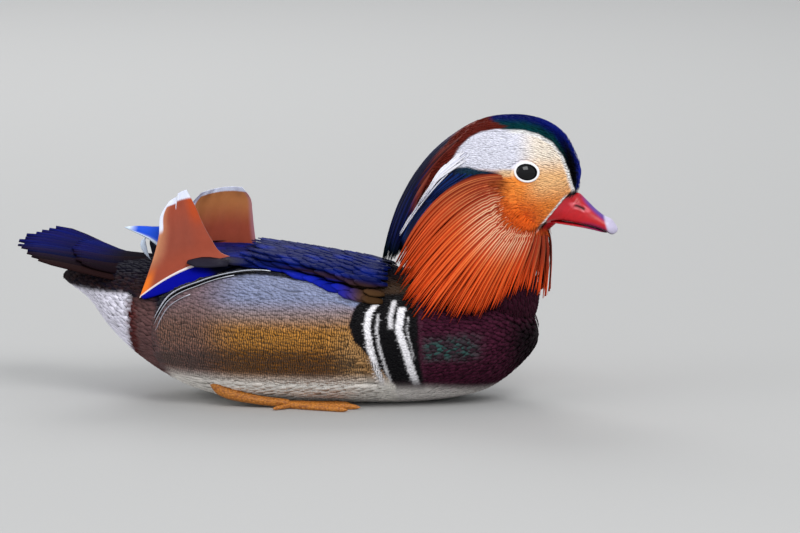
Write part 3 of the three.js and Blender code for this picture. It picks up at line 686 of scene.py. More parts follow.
# Light bars on the patch: front edge, width, lowest, highest, strength
BARS = (
    ([(14, 45), (33.7, 39.5), (40.7, 38), (49.3, 36.6), (56.8, 37.6), (64, 43)], 3.6, 10, 63, 1.0),
    ([(14, 49), (33.8, 43.6), (46, 41), (57, 41.5)], 1.5, 10, 56, 0.7),
    ([(46, 49.5), (54, 48.8), (63, 50.5)], 2.6, 48, 62.5, 0.8),
    ([(14, 64), (34.6, 58.6), (47.4, 54.4), (59, 55.6)], 4.0, 10, 59, 1.0),
    ([(14, 66), (34.6, 60.6), (47.4, 57.4), (55, 58)], 0.8, 30, 54, 0.6),
)


def body_tone(p):
    """Breast, the barred patch at its side, flank, back, rump and under the tail, and how finely each is waved."""
    x, z = p[..., 0], p[..., 2]
    up = lean(p) - flank_edge(x)
    streak = 0.5 + 0.5 * np.sin(x * 2.3 + 2.0 * np.sin(z * 0.55) + 1.3 * np.sin(p[..., 1] * 0.8))
    scallop = smooth(46, 36, z - 0.05 * (x - 60)) * smooth(26, 33, z) * smooth(63, 70, x) * smooth(104, 86, x)
    breast = blend(
        "331021",
        "57243a", 0.6 * streak,
        "150a10", smooth(106, 122, x) * smooth(56, 40, z),
        "246059", scallop * (0.15 + 0.6 * smooth(0.5, 0.95, streak)),
        "eee8e4", smooth(17, 9, z + 0.1 * (x - 60)),
    )
    side = blend(
        "c98a3c",
        "a58a80", smooth(46, 56, z),
        "8b93b4", smooth(53, 66, z) + smooth(-14, -2, up) * 0.7,
        "7c4a1e", smooth(44, 30, z) * 0.75,
        "80605c", smooth(-34, -66, x) * 0.85,
        "c9a678", smooth(8, 30, x) * smooth(56, 40, z) * 0.45,
        "f0ebe4", smooth(24, 13, z),
    )
    back = blend("0b0d20", "3c2a1c", smooth(8, 34, x) * smooth(76, 68, z))
    rump = blend(
        "0e0c1c",
        "38221e", streak * smooth(76, 70, z) * 0.7,
        "6e4f4e", smooth(64, 56, z) * 0.85,
        "4d1a18", smooth(-99, -100, x) * smooth(62, 58, z),
        "e9e6f4", smooth(-103.5, -104.5, x) * smooth(65, 62, z),
    )
    over_edge = smooth(-1, 1, up) * (x > -100)
    ahead = smooth(-0.6, 0.6, x - line(PATCH_REAR, z))
    rear = smooth(-84, -88, x + 0.12 * (z - 50))
    white = np.zeros(x.shape)
    for front, width, low, high, strength in BARS:
        inside = smooth(0.35, -0.35, np.abs(x - line(front, z) + width / 2) - width / 2)
        white = np.maximum(white, strength * inside * smooth(low - 1, low + 1, z) * smooth(high + 0.6, high - 0.6, z))
    colour = blend(
        side,
        back, over_edge * smooth(70, 58, x),
        breast, ahead * (1 - over_edge * smooth(64, 56, x)),
        "08070a", ahead * smooth(0.6, -0.6, x - line(PATCH_FRONT, z)) * smooth(67, 64.5, z) * smooth(8, 19, z),
        "f4f2f6", white * smooth(12, 20, z),
        rump, rear,
    )
    waves = smooth(66, 44, z) * (1 - over_edge) * (1 - ahead) * (1 - 0.7 * rear) * smooth(14, 26, z)
    waved_by = 0.12 * (1 - ahead) * (1 - over_edge) + 0.75 * waves
    return np.concatenate([colour, waved_by[..., None]], -1)


def neck_tone(p):
    x, z = p[..., 0], p[..., 2]
    return blend(
        "3a1424",
        "6a1c0c", smooth(80, 92, z),
        "0b1030", smooth(84, 74, x) * smooth(80, 88, z),
    )


# Rows of feathers over a form
def tiles(form, first, last, step, width, jitter=0.25, arc=(0, 2 * np.pi)):
    """Places and angles in staggered rows, evenly spaced round each section."""
    places, angles = [], []
    for i, place in enumerate(np.arange(first, last, step)):
        fine = np.linspace(*arc, RING_POINTS)
        ring = form.point(np.full(RING_POINTS, place), fine)
        length = np.concatenate([[0], np.cumsum(np.linalg.norm(np.diff(ring, axis=0), axis=1))])
        count = max(3, int(length[-1] / width))
        at = (np.arange(count) + 0.5 * (i % 2) + vary(count, jitter)) / count * length[-1]
        angles.append(np.interp(at % length[-1], length, fine))
        places.append(np.full(count, place) + vary(count, jitter * step))
    return np.concatenate(places), np.concatenate(angles)


def over(form, place, angle, length, steps, lift, slant):
    """Middle lines of feathers that lie back along a form from their roots, and the outward directions."""
    step = np.broadcast_to(length, place.shape) / (steps - 1)
    P, N = [], []
    for k in range(steps):
        p, n, by_place, by_angle = form.frame(place, angle)
        P.append(p + n * lift(k / (steps - 1)))
        N.append(n)
        place = place - step * np.cos(slant) / np.maximum(np.linalg.norm(by_place, axis=-1), 0.7)
        angle = angle + step * np.sin(slant) / np.maximum(np.linalg.norm(by_angle, axis=-1), 1.0)
    return np.stack(P, 1), np.stack(N, 1)


def unrolled(form, place, angle):
    """Places on a form as shares of its length and of the way round."""
    return np.stack([(place - form.start) / (form.end - form.start), (angle % (2 * np.pi)) / (2 * np.pi)], -1)


def rounded(t, full=0.62):
    """Half width of a rounded feather along its length, as a share of the widest."""
    end = np.clip((t - full) / (1.02 - full), 0, 1)
    return np.clip(0.55 + 1.1 * t, 0, 1) * np.sqrt(np.clip(1 - end**2, 0.02, 1))


def pointed(t):
    """The same for a pointed feather."""
    return np.clip(0.5 + 1.3 * t, 0, 1) * np.clip(1.6 * (1.03 - t), 0, 1)


# Roughness, sheen, metal, unevenness, barbs along the shaft, their relief, gloss, refraction
PLUMAGE = feather_material("plumage", 0.65, 0.02, 0.0, 0.3, 26.0, 0.35, 0.08, 1.25)
FLANK = feather_material("waved_plumage", 0.65, 0.06, 0.0, 0.15, 12.0, 0.08, 0.15, 1.35, True)
GLOSSY = feather_material("glossy_plumage", 0.42, 0.0, 0.05, 0.3, 30.0, 0.3, 0.05, 1.2)
DUSKY = feather_material("dusky_plumage", 0.6, 0.0, 0.0, 0.25, 30.0, 0.3, 0.02, 1.15)
STRANDS = feather_material("strands", 0.55, 0.0, 0.0, 0.22, 34.0, 0.25, 0.15, 1.4)
VELVET = feather_material("velvet", 0.7, 0.05, 0.0, 0.12, 8.0, 0.05, 0.15, 1.4)
SAIL = feather_material("sail_vane", 0.55, 0.2, 0.0, 0.2, 60.0, 0.25, 0.25, 1.4)
DOWN = skin_material("skin_down", 0.7)


# The skin
def pad(side, places, low, high, lift):
    """A closed patch on the torso between two angles, as thick as lift gives at its places."""
    T, S = grid_of(shares(40), np.linspace(-1, 1, 18))
    x = mix(*places, T)
    angle = np.radians(mix(low(x), high(x), (S + 1) / 2))
    p, n, _, _ = torso.frame(x, angle)
    mirrored = np.array([1, -side, 1])
    return blade_mesh((p + n * lift(T, S)[..., None]) * mirrored, (p - n * PAD_ROOT) * mirrored)


def flank_foot(x):
    """Lower border of the flank's pad, in degrees above the widest line of the body."""
    return -42 - 12 * np.maximum(0, (-50 - x) / 38)


def flank_lift(t, s):
    ends = np.minimum(1, (1 - t) * 4)
    return mix(-1.6, 1.2, np.minimum(1, (s + 1) * 1.2) * ends)


def shoulder(x):
    """Extra height of the shoulder feathers over the folded wing, which end roundly ahead of the sails."""
    return 3.8 * smooth(-40, -32, x) * smooth(42, 20, x)


def wing_lift(t, s):
    rise = np.minimum(1, 0.35 + 5 * t) * smooth(1.0, 0.85, t)
    raised = 0.5 * shoulder(mix(*WING_PAD, t)) * (1 - s**8) * smooth(-0.7, 0.0, s)
    return (0.3 + (0.8 + 2.2 * t * t) * (1 - s * s)) * rise - 0.6 + raised


def skin():
    """One closed surface from torso, neck, head and pads, with the bird's markings."""
    skull, skull_faces = head.surface(72, 64, 0.5)
    narrow = smooth(-0.3, 1.5, bill_border(skull[:, 0], skull[:, 2])) * smooth(121.5, 119.5, skull[:, 2])
    skull[:, 1] *= 1 - 0.45 * narrow
    parts = [torso.surface(96, 120, 1.1), neck.surface(64, 48, 1.0), (skull, skull_faces)]
    for side, _ in SIDES:
        parts.append(pad(side, FLANK_PAD, flank_foot, flank_edge, flank_lift))
        parts.append(pad(side, WING_PAD, lambda x: flank_edge(x) + 1.5, lambda x: 0 * x + 89.5, wing_lift))
    obj = make("skin", *joined(parts), DOWN)
    remesh = obj.modifiers.new("remesh", "REMESH")
    remesh.mode = "VOXEL"
    remesh.voxel_size = SKIN_VOXEL * MM
    blur = obj.modifiers.new("blur", "SMOOTH")
    blur.iterations = 5
    blur.factor = 0.5
    done = bpy.data.meshes.new_from_object(obj.evaluated_get(bpy.context.evaluated_depsgraph_get()))
    obj.modifiers.clear()
    obj.data = done
    done.polygons.foreach_set("use_smooth", [True] * len(done.polygons))
    co = np.zeros(len(done.vertices) * 3)
    done.vertices.foreach_get("co", co)
    p = co.reshape(-1, 3) / MM
    p[:, 2] = np.maximum(p[:, 2], 0.0)
    done.vertices.foreach_set("co", (p * MM).ravel())
    collar = smooth(61, 65, p[:, 2] + 0.25 * (p[:, 0] - 125)) * (p[:, 0] > 58)
    jaw = smooth(95, 99, p[:, 2]) * (p[:, 0] > 30)
    paint(done, blend(body_tone(p)[:, :3], neck_tone(p), collar, head_tone(p), jaw))
    settle(obj, "body_plumage", "torso", "neck", "head")


skin()


# Body feathers
def shade(tone, count, steps, spread=0.08, root_tone=0.8):
    """Tone at every vertex, a little uneven from feather to feather, and darker at the roots as painted shade under
    the overlapping feathers.
    """
    per = 1 + vary(count, spread)[:, None, None, None]
    # Painted shade: each feather is darker at its root, where the feathers rooted ahead of it cover it.
    root = mix(root_tone, 1, smooth(0, 0.8, shares(steps)))[None, :, None, None]

    def at(V):
        value = tone(V)
        value[..., :3] = value[..., :3] * per * root
        return value

    return at


def cover(name, material, slot, form, rows, length, half, tone, lift, keep=None, steps=4, cols=3, crown=0.3,
          shape=rounded, base=None, spread=0.08, root_tone=0.8):
    """Feathers over a form, from rows of roots, with base the height of what lies between form and feather."""
    place, angle = rows
    if keep is not None:
        use = keep(form.point(place, angle))
        place, angle = place[use], angle[use]
    size = (length(place) if callable(length) else length) * (1 + vary(place.shape, 0.14))
    P, N = over(form, place, angle, size, steps, lift, vary(place.shape, 0.08))
    if base is not None:
        P = P + N * base(P)[..., None]
    width = half * shape(shares(steps))[None] * (1 + vary(place.shape, 0.1))[:, None]
    uneven = shade(tone, len(place), steps, spread, root_tone)
    coat(name, material, slot, (), P, N, width, crown, uneven, unrolled(form, place, angle), cols)


def lie(low, high):
    """Height of a feather above what it lies on, from root to tip."""
    return lambda t: mix(low, high, t**0.7) if t > 0 else low


def flank_base(p):
    """Height of the flank's soft pad over the torso."""
    x = p[..., 0]
    t = (x - FLANK_PAD[0]) / (FLANK_PAD[1] - FLANK_PAD[0])
    s = 2 * (lean(p) - flank_foot(x)) / (flank_edge(x) - flank_foot(x)) - 1
    inside = (t > 0) & (t < 1) & (s > -1) & (s < 1.1)
    return np.where(inside, np.maximum(0, flank_lift(np.clip(t, 0, 1), np.clip(s, -1, 1)) + 0.3), 0)


def on_breast(p):
    return (p[..., 0] > line(PATCH_REAR, p[..., 2]) - 3) & (p[..., 0] > 20)


def on_patch(p):
    x, z = p[..., 0], p[..., 2]
    return (x > line(PATCH_REAR, z) - 2) & (x < line(PATCH_FRONT, z) + 5) & (z < 68) & (z > 10)


def on_flank(p):
    x, z = p[..., 0], p[..., 2]
    return (x < line(PATCH_REAR, z) + 2) & (x > -92) & (lean(p) < flank_edge(x) + 1) & (z > 12)


def on_belly(p):
    return (p[..., 2] < 14) & (p[..., 0] > -90) & (p[..., 0] < 56)


def on_rear(p):
    return p[..., 0] < -82


# Name, material, first and last place, distance of rows and of feathers, length, half width, height at root and tip,
# where they grow
BODY_COATS = (
    ("breast_feathers", PLUMAGE, (20, 128.6, 1.8, 2.5), 7.5, 1.8, (-0.9, 0.5), on_breast, {}),
    ("patch_feathers", FLANK, (20, 70, 1.0, 1.5), 4.6, 1.0, (-0.1, 0.7), on_patch,
     {"crown": 0.05, "steps": 5, "cols": 5, "spread": 0.05, "root_tone": 0.95}),
    ("belly_feathers", PLUMAGE, (-90, 58, 3.0, 4.0), 12, 2.8, (-0.9, 0.5), on_belly, {}),
    ("rear_feathers", PLUMAGE, (-145, -80, 2.2, 3.0), 10, 2.2, (-0.9, 0.6), on_rear, {}),
    ("flank_feathers", FLANK, (-92, 36, 1.6, 2.0, 0.5), 7.5, 1.5, (-0.22, 0.1), on_flank,
     {"base": flank_base, "crown": 0.03, "spread": 0.03, "root_tone": 0.97}),
)


def body_coats():
    for name, material, rows, length, half, heights, keep, more in BODY_COATS:
        rows = tiles(torso, *rows)
        cover(name, material, "body_plumage", torso, rows, length, half, body_tone, lie(*heights), keep, **more)


body_coats()


# Lines along the rear upper edge of the flank: name, feathers, their length as a share of the line, distance above
# the edge, half width, first and last place, colour, height
EDGING = (
    ("white", 60, 0.1, 0.4, 0.5, -22, -87, "e8ecfa", 1.0),
    ("black", 34, 0.17, -1.5, 0.75, -30, -87, "050508", 0.9),
    ("line", 34, 0.17, -2.9, 0.34, -42, -87, "e6e8f4", 0.95),
    ("rear_line", 34, 0.17, -7.5, 0.3, -66, -86, "dcdcea", 0.8),
)


def edging(side, name):
    """Narrow white and black feathers along the rear upper edge of the flank."""
    steps = 8
    u = shares(steps)
    for label, count, share, off, half, first, last, tone, lift in EDGING:
        start = np.linspace(0, 0.99 - share, count)[:, None]
        x = mix(first, last, start + share * u[None])
        radius = 58 - 0.25 * (-30 - x)
        angle = np.radians(flank_edge(x) + np.degrees(off / radius))
        angle = np.where(side == RIGHT, angle, np.pi - angle)
        P, N, _, _ = torso.frame(x, angle)
        P = P + N * (flank_base(P) + lift + 0.25 * u[None])[..., None]
        colour = np.broadcast_to(rgb(tone), (count, steps, 3)) * (1 + vary(count, 0.05))[:, None, None]
        width = half * pointed(0.25 + 0.7 * u)
        coat(f"edging_{name}_{label}", STRANDS, "body_plumage", (), P, N, width, 0.1, colour,
             unrolled(torso, x[:, 0], angle[:, 0]))


both(edging)
cover(
    "neck_feathers", PLUMAGE, "dark_plumage", neck, tiles(neck, 59, 100, 1.9, 2.4), 10, 1.8, neck_tone,
    lie(-0.9, 0.9), base=lambda p: 2.0 * smooth(80, 64, p[..., 2]),
)


# Ruff
def ruff_point(side, a, t):
    g = along(RUFF, a)
    p = bend(g[..., 1:4], g[..., 4:7], g[..., 7:10], np.asarray(t)[..., None])
    p[..., 1] *= -side
    return p


def ruff_tone(a, t, s, count, shaft, dark):
    """Rust to bright orange along each strand, with a pale shaft set off the middle so that it is also a painted
    highlight on the strand's ridge, and dark edges that are partly painted shade between the strands.
    """
    A, T, S = np.broadcast_arrays(a[:, None, None], t[:, :, None], s[None, None, :])
    pale = blend(
        "fbcda4",
        "f58540", smooth(0.3, 0.62, T),
        "cf7444", smooth(0.3, 0.1, A) + smooth(0.78, 0.88, A),
    )
    # The strands' own pale shafts, set off the middle so that they are also a painted highlight on each strand's
    # ridge.
    ridge = np.exp(-(((S - 0.25) / 0.16) ** 2))
    strength = smooth(0.0, 0.1, T) * mix(1.0, 0.6, smooth(0.4, 0.8, T)) * smooth(1.0, 0.86, T)
    colour = blend(
        "a5300f",
        "7c2a12", smooth(0.34, 0.04, A) * 0.85,
        "d94816", smooth(0.35, 0.85, T) * smooth(0.0, 0.2, A + 0.1),
        "8c2c14", smooth(0.84, 0.93, A) * smooth(0.9, 0.4, T),
        pale, ridge * strength * shaft,
        # Dark edges: partly the strands' own colour, partly painted shade between the strands.
        "3c0a06", dark * smooth(0.45, 1.0, np.abs(S)) * smooth(0.02, 0.2, T),
        "e8762a", smooth(0.14, 0.0, T) * smooth(0.1, 0.25, A) * smooth(0.95, 0.8, A),
    )
    return colour * (1 + vary(count, 0.12))[:, None, None, None]


# Layers of the ruff: name, strands, half width, height, reach, strength of the pale shafts with their painted
# highlight and of the dark edges with their painted shade, arch
RUFF_LAYERS = (
    ("under", 120, 1.9, -1.1, 0.97, 0.25, 1.0, 0.4),
    ("plumes", 46, 1.85, 0.5, 1.0, 1.0, 1.0, 1.0),
    ("wisps", 90, 0.4, 1.3, 1.01, 0.3, 0.5, 0.15),
)


def away_from_neck(P, ahead, above):
    """Directions outwards from an upright axis that stands ahead of the neck's, tilted up by above."""
    out = P.copy()
    out[..., 0] -= NECK_AXIS + ahead
    out[..., 2] = above
    return unit(out)


def ruff(side, name):
    for label, count, half, height, reach, shaft, dark, arch in RUFF_LAYERS:
        cols = 5 if label == "wisps" else 9
        a = np.clip((np.arange(count) + 0.5 + vary(count, 0.3)) / count, 0.002, 0.998)
        a = a**1.35 if label == "under" else a
        u = shares(26)[None, :] ** 1.25
        first = rng.uniform(0, 0.5, count)[:, None] if label == "wisps" else np.zeros((count, 1))
        last = (reach + vary(count, 0.035) - 0.06 * rng.random(count) ** 2)[:, None]
        t = mix(first, last, u)
        P = ruff_point(side, np.clip(a[:, None] + vary(count, 0.012)[:, None] * t, 0, 1), t)
        N = away_from_neck(P, 0, 8)
        across = unit(np.cross(N, unit(np.gradient(P, axis=1))))
        crimp = np.sin(t * 62 + a[:, None] * 9) * smooth(0.42, 0.2, t) * smooth(0.0, 0.06, t)
        crimp = crimp * (smooth(0.08, 0.25, a) * smooth(0.95, 0.75, a))[:, None]
        rise = height * np.sin(np.pi * np.clip(t, 0, 1) ** 0.55) + 0.9 * rng.random(count)[:, None] * t**4
        P = P + N * (rise - 1.2 * (1 - t) ** 4 + 0.22 * crimp)[..., None] + across * (0.45 * crimp)[..., None]
        width = half * np.clip(0.4 + 2.2 * t, 0, 1) * np.clip(2.0 * (1.02 - u), 0, 1) ** 0.8
        tone = ruff_tone(a, t, np.linspace(-1, 1, cols), count, shaft, dark)
        unwrap = np.stack([a, np.full(count, 0.3 if side == RIGHT else 0.7)], -1)
        nodes = (f"ruff_{name}",) if label == "plumes" else ()
        coat(f"ruff_{name}_{label}", STRANDS, "ruff_plumage", nodes, P, N,
             width * (1 + vary(count, 0.15))[:, None], arch, tone, unwrap, cols)


def cheek(side, name):
    """Short feathers that hide the roots of the ruff and lead the face into it."""
    count = 420
    u = shares(6)
    a = rng.uniform(0.06, 1, count)
    first = rng.uniform(-0.05, 0.09, count)[:, None]
    t = first + u[None] * rng.uniform(0.08, 0.17, count)[:, None]
    P = ruff_point(side, a[:, None] + 0 * t, t)
    N = away_from_neck(P, 14, 0)
    P = P + N * (0.3 + 1.2 * u)[None, :, None]
    colour = blend(head_tone(P), "c8521a", smooth(0.05, 0.22, t) * 0.85) * (1 + vary(count, 0.1))[:, None, None]
    colour = blend(colour, "8a3c16", (smooth(0.22, 0.1, a)[:, None] * smooth(0.0, 0.1, t)) * 0.7)
    unwrap = np.stack([a, np.full(count, 0.5)], -1)
    coat(f"cheek_{name}_feathers", STRANDS, "face_plumage", (), P, N, 0.7 * pointed(u), 0.2, colour, unwrap)


both(ruff, cheek)


# Crest
def crest_point(a, t, across):
    g = along(CREST, a)
    flat = bend(g[..., [1, 2]], g[..., [3, 4]], g[..., [5, 6]], np.asarray(t)[..., None])
    y = across * mix(g[..., 7], g[..., 8], t)
    return np.stack([flat[..., 0], y, flat[..., 1]], -1)


def crest():
    count = 900
    a = rng.random(count)
    side = np.where(rng.random(count) < 0.5, -1.0, 1.0)
    depth = 1 - 0.45 * rng.random(count) ** 2
    back = rng.random(count) < 0.3
    a = np.where(back, a * 0.08, a)
    depth = np.where(back, rng.random(count), depth)
    u = shares(14)
    first = np.where(rng.random(count) < 0.35, 0, rng.uniform(0, 0.6, count))[:, None]
    last = (0.97 + vary(count, 0.05) - 0.2 * rng.random(count) ** 3)[:, None]
    t = mix(first, last, u[None])
    edge = np.sqrt(1 - 0.75 * (2 * a - 1) ** 2)
    share = np.clip(a[:, None] + vary(count, 0.06)[:, None] * u, 0, 1)
    P = crest_point(share, t, (side * depth * edge)[:, None])
    out = unit(np.stack([-1.2 * (0.5 - a), side, 0.9 * (0.5 - a)], -1))
    N = np.broadcast_to(out[:, None], P.shape)
    P = P + N * (-1.6 * (1 - u) ** 3 + 0.5 * u * rng.random(count)[:, None])[..., None]
    width = np.clip(0.4 + 1.6 * u, 0, 1) * np.clip(1.7 * (1.02 - u), 0, 1)
    colour = rgb("64221a") * (1 + vary(count, 0.35))[:, None, None]
    colour = blend(
        colour,
        "a3503c", ((rng.random(count) < 0.25) * 0.55)[:, None],
        "1c0810", ((rng.random(count) < 0.2) * 0.7)[:, None],
    )
    dark = smooth(0.3, 0.48, t + 0.5 * (0.45 - a[:, None]) + 0.1 * vary(count, 1)[:, None])
    colour = blend(
        colour,
        "060a2c", dark,
        "0c1f6a", dark * ((rng.random(count) < 0.25) * 0.6)[:, None],
        "06201c", smooth(0.85, 1, t),
    )
    unwrap = np.stack([a, 0.5 + 0.45 * side * depth], -1)
    coat("crest_feathers", STRANDS, "crest_plumage", ("crest",), P, N,
         width[None] * (1 + vary(count, 0.25))[:, None], 0.25, colour, unwrap)


crest()


# Nape: the white brow's tail, the thin stripe below it and the dark wedge down to the ruff, along X and Z
BROW_TAIL = [[88, 145], [80, 138.5], [72, 131.6], [66.4, 123], [60.2, 114.8], [54, 105.4], [48.9, 96.4]]
STRIPE = [[78, 133.4], [71.6, 126.6], [65.4, 118.9], [59.2, 110.9], [54, 103.4], [48.9, 95.2]]
RUFF_TOP = [[98, 134.8], [83.6, 128.3], [77.4, 125.1], [68.1, 116.7], [58.8, 105.1], [51.6, 89.4]]


def trace(points, u):
    """Points at even shares along a line of points along X and Z."""
    points = np.array(points, float)
    length = np.concatenate([[0], np.cumsum(np.linalg.norm(np.diff(points, axis=0), axis=1))])
    at = np.asarray(u) * length[-1]
    return np.stack([np.interp(at, length, points[:, 0]), np.interp(at, length, points[:, 1])], -1)


def section_side(rows, x, z, dome=1.0):
    """Distance of a form's surface from the middle plane, at a place and height."""
    _, low, middle, high, half, upper, lower = columns(rows, x)
    share = np.clip(np.abs(z - middle) / (np.where(z > middle, high - middle, middle - low) * dome), 0, 1)
    power = np.where(z > middle, upper, lower)
    return half * dome * (1 - share**power) ** (1 / power)


def head_side(x, z):
    ends = zip((x - head.start, head.end - x), head.domes)
    rear, front = (1 - np.clip(1 - distance / dome, 0, 1) ** 2 for distance, dome in ends)
    return section_side(HEAD, x, z, np.sqrt(np.maximum(np.minimum(rear, front), 1e-4)))


# Name, strands, half width, height, main colour and the colour of some strands
NAPE = (
    ("wedge", 150, 0.8, 0.2, "060c34", "0b2a66"),
    ("brow", 90, 0.62, 0.5, "f4f3fb", "dfe0f0"),
    ("stripe", 26, 0.42, 0.9, "f4f3fb", "dfe0f0"),
)


def nape(side, name):
    steps = 8
    u = shares(steps)
    for label, count, half, lift, tone, other in NAPE:
        first = rng.uniform(0, 0.72, count)[:, None]
        t = first + (1 - first) * np.minimum(1, 0.42 / (1 - first)) * u[None]
        if label == "wedge":
            v = rng.random(count)[:, None, None]
            flat = mix(trace(STRIPE, t), trace(RUFF_TOP, t) - [0, 1.5], v)
            least = mix(7, 17, v[..., 0])
        elif label == "brow":
            flat = trace(BROW_TAIL, t)
            flat[..., 1] += vary(count, 1)[:, None] * np.interp(t, [0, 0.3, 0.55, 1], [4.5, 2.6, 1.1, 0.3])
            least = 8.6
        else:
            flat = trace(STRIPE, t)
            flat[..., 1] += vary(count, 0.3)[:, None]
            least = 8.9
        x, z = flat[..., 0], flat[..., 1]
        y = side * (np.maximum(head_side(x, z), least) + lift + 0.4 * u[None])
        P = np.stack([x, y, z], -1)
        N = np.broadcast_to(unit(np.array([-0.4, side, 0.2])), P.shape)
        colour = np.where((rng.random(count) < 0.35)[:, None, None], rgb(other), rgb(tone)) * np.ones((1, steps, 1))
        unwrap = np.stack([first[:, 0], np.full(count, 0.5 + 0.3 * side)], -1)
        coat(f"nape_{name}_{label}", STRANDS, "crest_plumage", (), P, N, half * pointed(u), 0.15, colour, unwrap)


both(nape)


# Crown and face feathers
def on_crown(p):
    return p[..., 2] > line(BROW, p[..., 0]) - 0.2


def on_face(p):
    x, z = p[..., 0], p[..., 2]
    near_eye = np.hypot((x - EYE_CENTRE[0]) / 8.6, (z - EYE_CENTRE[2]) / 7.4) < 1
    return (z < line(BROW, x) + 0.2) & (z > 96) & ~near_eye & ((bill_border(x, z) < -0.2) | (z > 120))


cover(
    "crown_feathers", GLOSSY, "crest_plumage", head, tiles(head, 62, 151.5, 1.1, 1.4),
    lambda place: mix(8, 2.8, smooth(112, 140, place)), 0.9, head_tone, lie(-0.35, 0.3), on_crown,
    shape=pointed, crown=0.12, steps=5,
)
cover(
    "face_feathers", VELVET, "face_plumage", head, tiles(head, 60, 149, 0.9, 1.1), 3.2, 0.65, head_tone,
    lie(-0.12, 0.05), on_face, shape=pointed, crown=0.02, steps=3, spread=0.02, root_tone=0.98,
)


# Wings
def on_back(p):
    x = p[..., 0]
    above = lean(p) - flank_edge(x)
    return (above > np.interp(x, [-8, 22], [5.5, -1])) & ((x > -36) | (above > 22) | ((x > -46) & (above < 9)))


def wing_tone(p):
    x = p[..., 0]
    up = lean(p) - flank_edge(x)
    glint = smooth(0.1, 0.8, np.sin(x * 0.21 + 1.1) * np.sin(p[..., 1] * 0.23 + x * 0.05))
    brown = smooth(13, 19, up + 0.12 * x) * smooth(34, 26, up + 0.12 * x) * smooth(-26, -4, x)
    return blend(
        "0b1034",
        "0b248c", 0.2 + 0.4 * glint,
        "2c1a1e", brown * 0.85,
        "1220a0", smooth(17, 9, up) * smooth(-36, -22, x) * smooth(34, 20, x) * 0.85,
        "2a2834", smooth(-38, -46, x) * smooth(27, 30, np.abs(p[..., 1])),
        "4a3420", smooth(14, 34, x) * smooth(26, 12, up),
    )


def coverts(side, name):
    """Wing and shoulder feathers, longer and higher towards the rear."""
    arc = (0, np.pi / 2) if side == RIGHT else (np.pi / 2, np.pi)
    place, angle = tiles(torso, -62, 46, 4.2, 6.0, arc=arc)
    use = on_back(torso.point(place, angle))
    place, angle = place[use], angle[use]
    rearward = np.clip((44 - place) / 100, 0, 1)
    length = mix(12, 24, rearward) * (1 + vary(place.shape, 0.1))
    above = lean(torso.point(place, angle)) - flank_edge(place)
    rise = 0.6 + 4.6 * np.clip((44 - place) / 118, 0, 1) ** 2
    rise = rise + 2.2 * smooth(-28, -42, place) * smooth(14, 9, above)
    rise = rise + shoulder(place - 16) * smooth(5, 16, above) + 0.6 * smooth(10, 4, above) * smooth(-24, -14, place)
    steps = 5
    P, N = over(torso, place, angle, length, steps, lambda t: mix(-0.6, 1.0, t), vary(place.shape, 0.06))
    P = P + N * rise[:, None, None]
    half = mix(3.4, 6.0, rearward)[:, None] * rounded(shares(steps))[None]
    coat(f"wing_{name}_coverts", GLOSSY, "wing_plumage", (f"wing_{name}",), P, N, half, 0.5,
         shade(wing_tone, len(place), steps, 0.15), unrolled(torso, place, angle), 5)


both(coverts)


# Wing tips over the rump, on the right: root, control point and tip along X and Z, distance from the middle, and half
# width. The left ones are moved along X and Z.
QUILLS = [
    [-72, 87.4, -89.1, 97.0, -108.5, 98.8, 20, 6.3],
    [-96.0, 93.5, -100.5, 90.0, -94.0, 80.0, 18, 1.7],
    [-88.7, 95.0, -93.7, 89.7, -90.7, 77.6, 16, 3.2],
]
FAR_WING = (6, -7)


def primaries(side, name):
    """A blue vane with a pale lower edge, a pale streak and a dark vane below it."""
    quills = np.array(QUILLS, float)
    if side == LEFT:
        quills[:, 0:6] += np.tile(FAR_WING, 3)
    count, steps, cols = len(quills), 16, 11
    t, s = shares(steps), np.linspace(-1, 1, cols)
    g = quills[:, None, :]
    flat = bend(g[..., 0:2], g[..., 2:4], g[..., 4:6], t[None, :, None])
    y = side * (quills[:, 6:7] - 3 * t[None] ** 2)
    P = np.stack([flat[..., 0], y, flat[..., 1]], -1)
    N = np.broadcast_to(unit(np.array([0, side, 0.35])), P.shape)
    taper = np.interp(t, [0, 0.42, 0.6, 0.87, 1], [1, 1, 0.62, 0.27, 0.03])
    shape = np.stack([taper, np.sin(np.pi * np.clip(t, 0.05, 0.98)), taper])
    below = -side * s
    edge = smooth(0.55, 0.75, below)[None] * smooth(0.25, 0.45, t)[:, None]
    edge = np.maximum(edge, smooth(0.84, 0.9, t)[:, None])
    blue = blend("1450dc", "dcecff", edge)
    pale, dark = (np.broadcast_to(rgb(code), blue.shape) for code in ("dcecff", "080c20"))
    coat(f"wing_{name}_primaries", SAIL, "wing_plumage", (), P, N, quills[:, 7:8] * shape, 0.4,
         np.stack([blue, pale, dark]), np.stack([np.arange(count) / count, np.full(count, 0.2)], -1), cols)


# Sails
def sail_point(side, t, s):
    g = along(SAILS[side], t)
    u = (s + 1) / 2
    x = mix(g[..., 1], g[..., 3], u)
    y = mix(g[..., 6], g[..., 7], u) + 2.5 * np.sin(np.pi * u) * t
    z = mix(g[..., 2], g[..., 4], u) + g[..., 5] * 4 * u * (1 - u)
    return np.stack([x, side * y, z], -1)


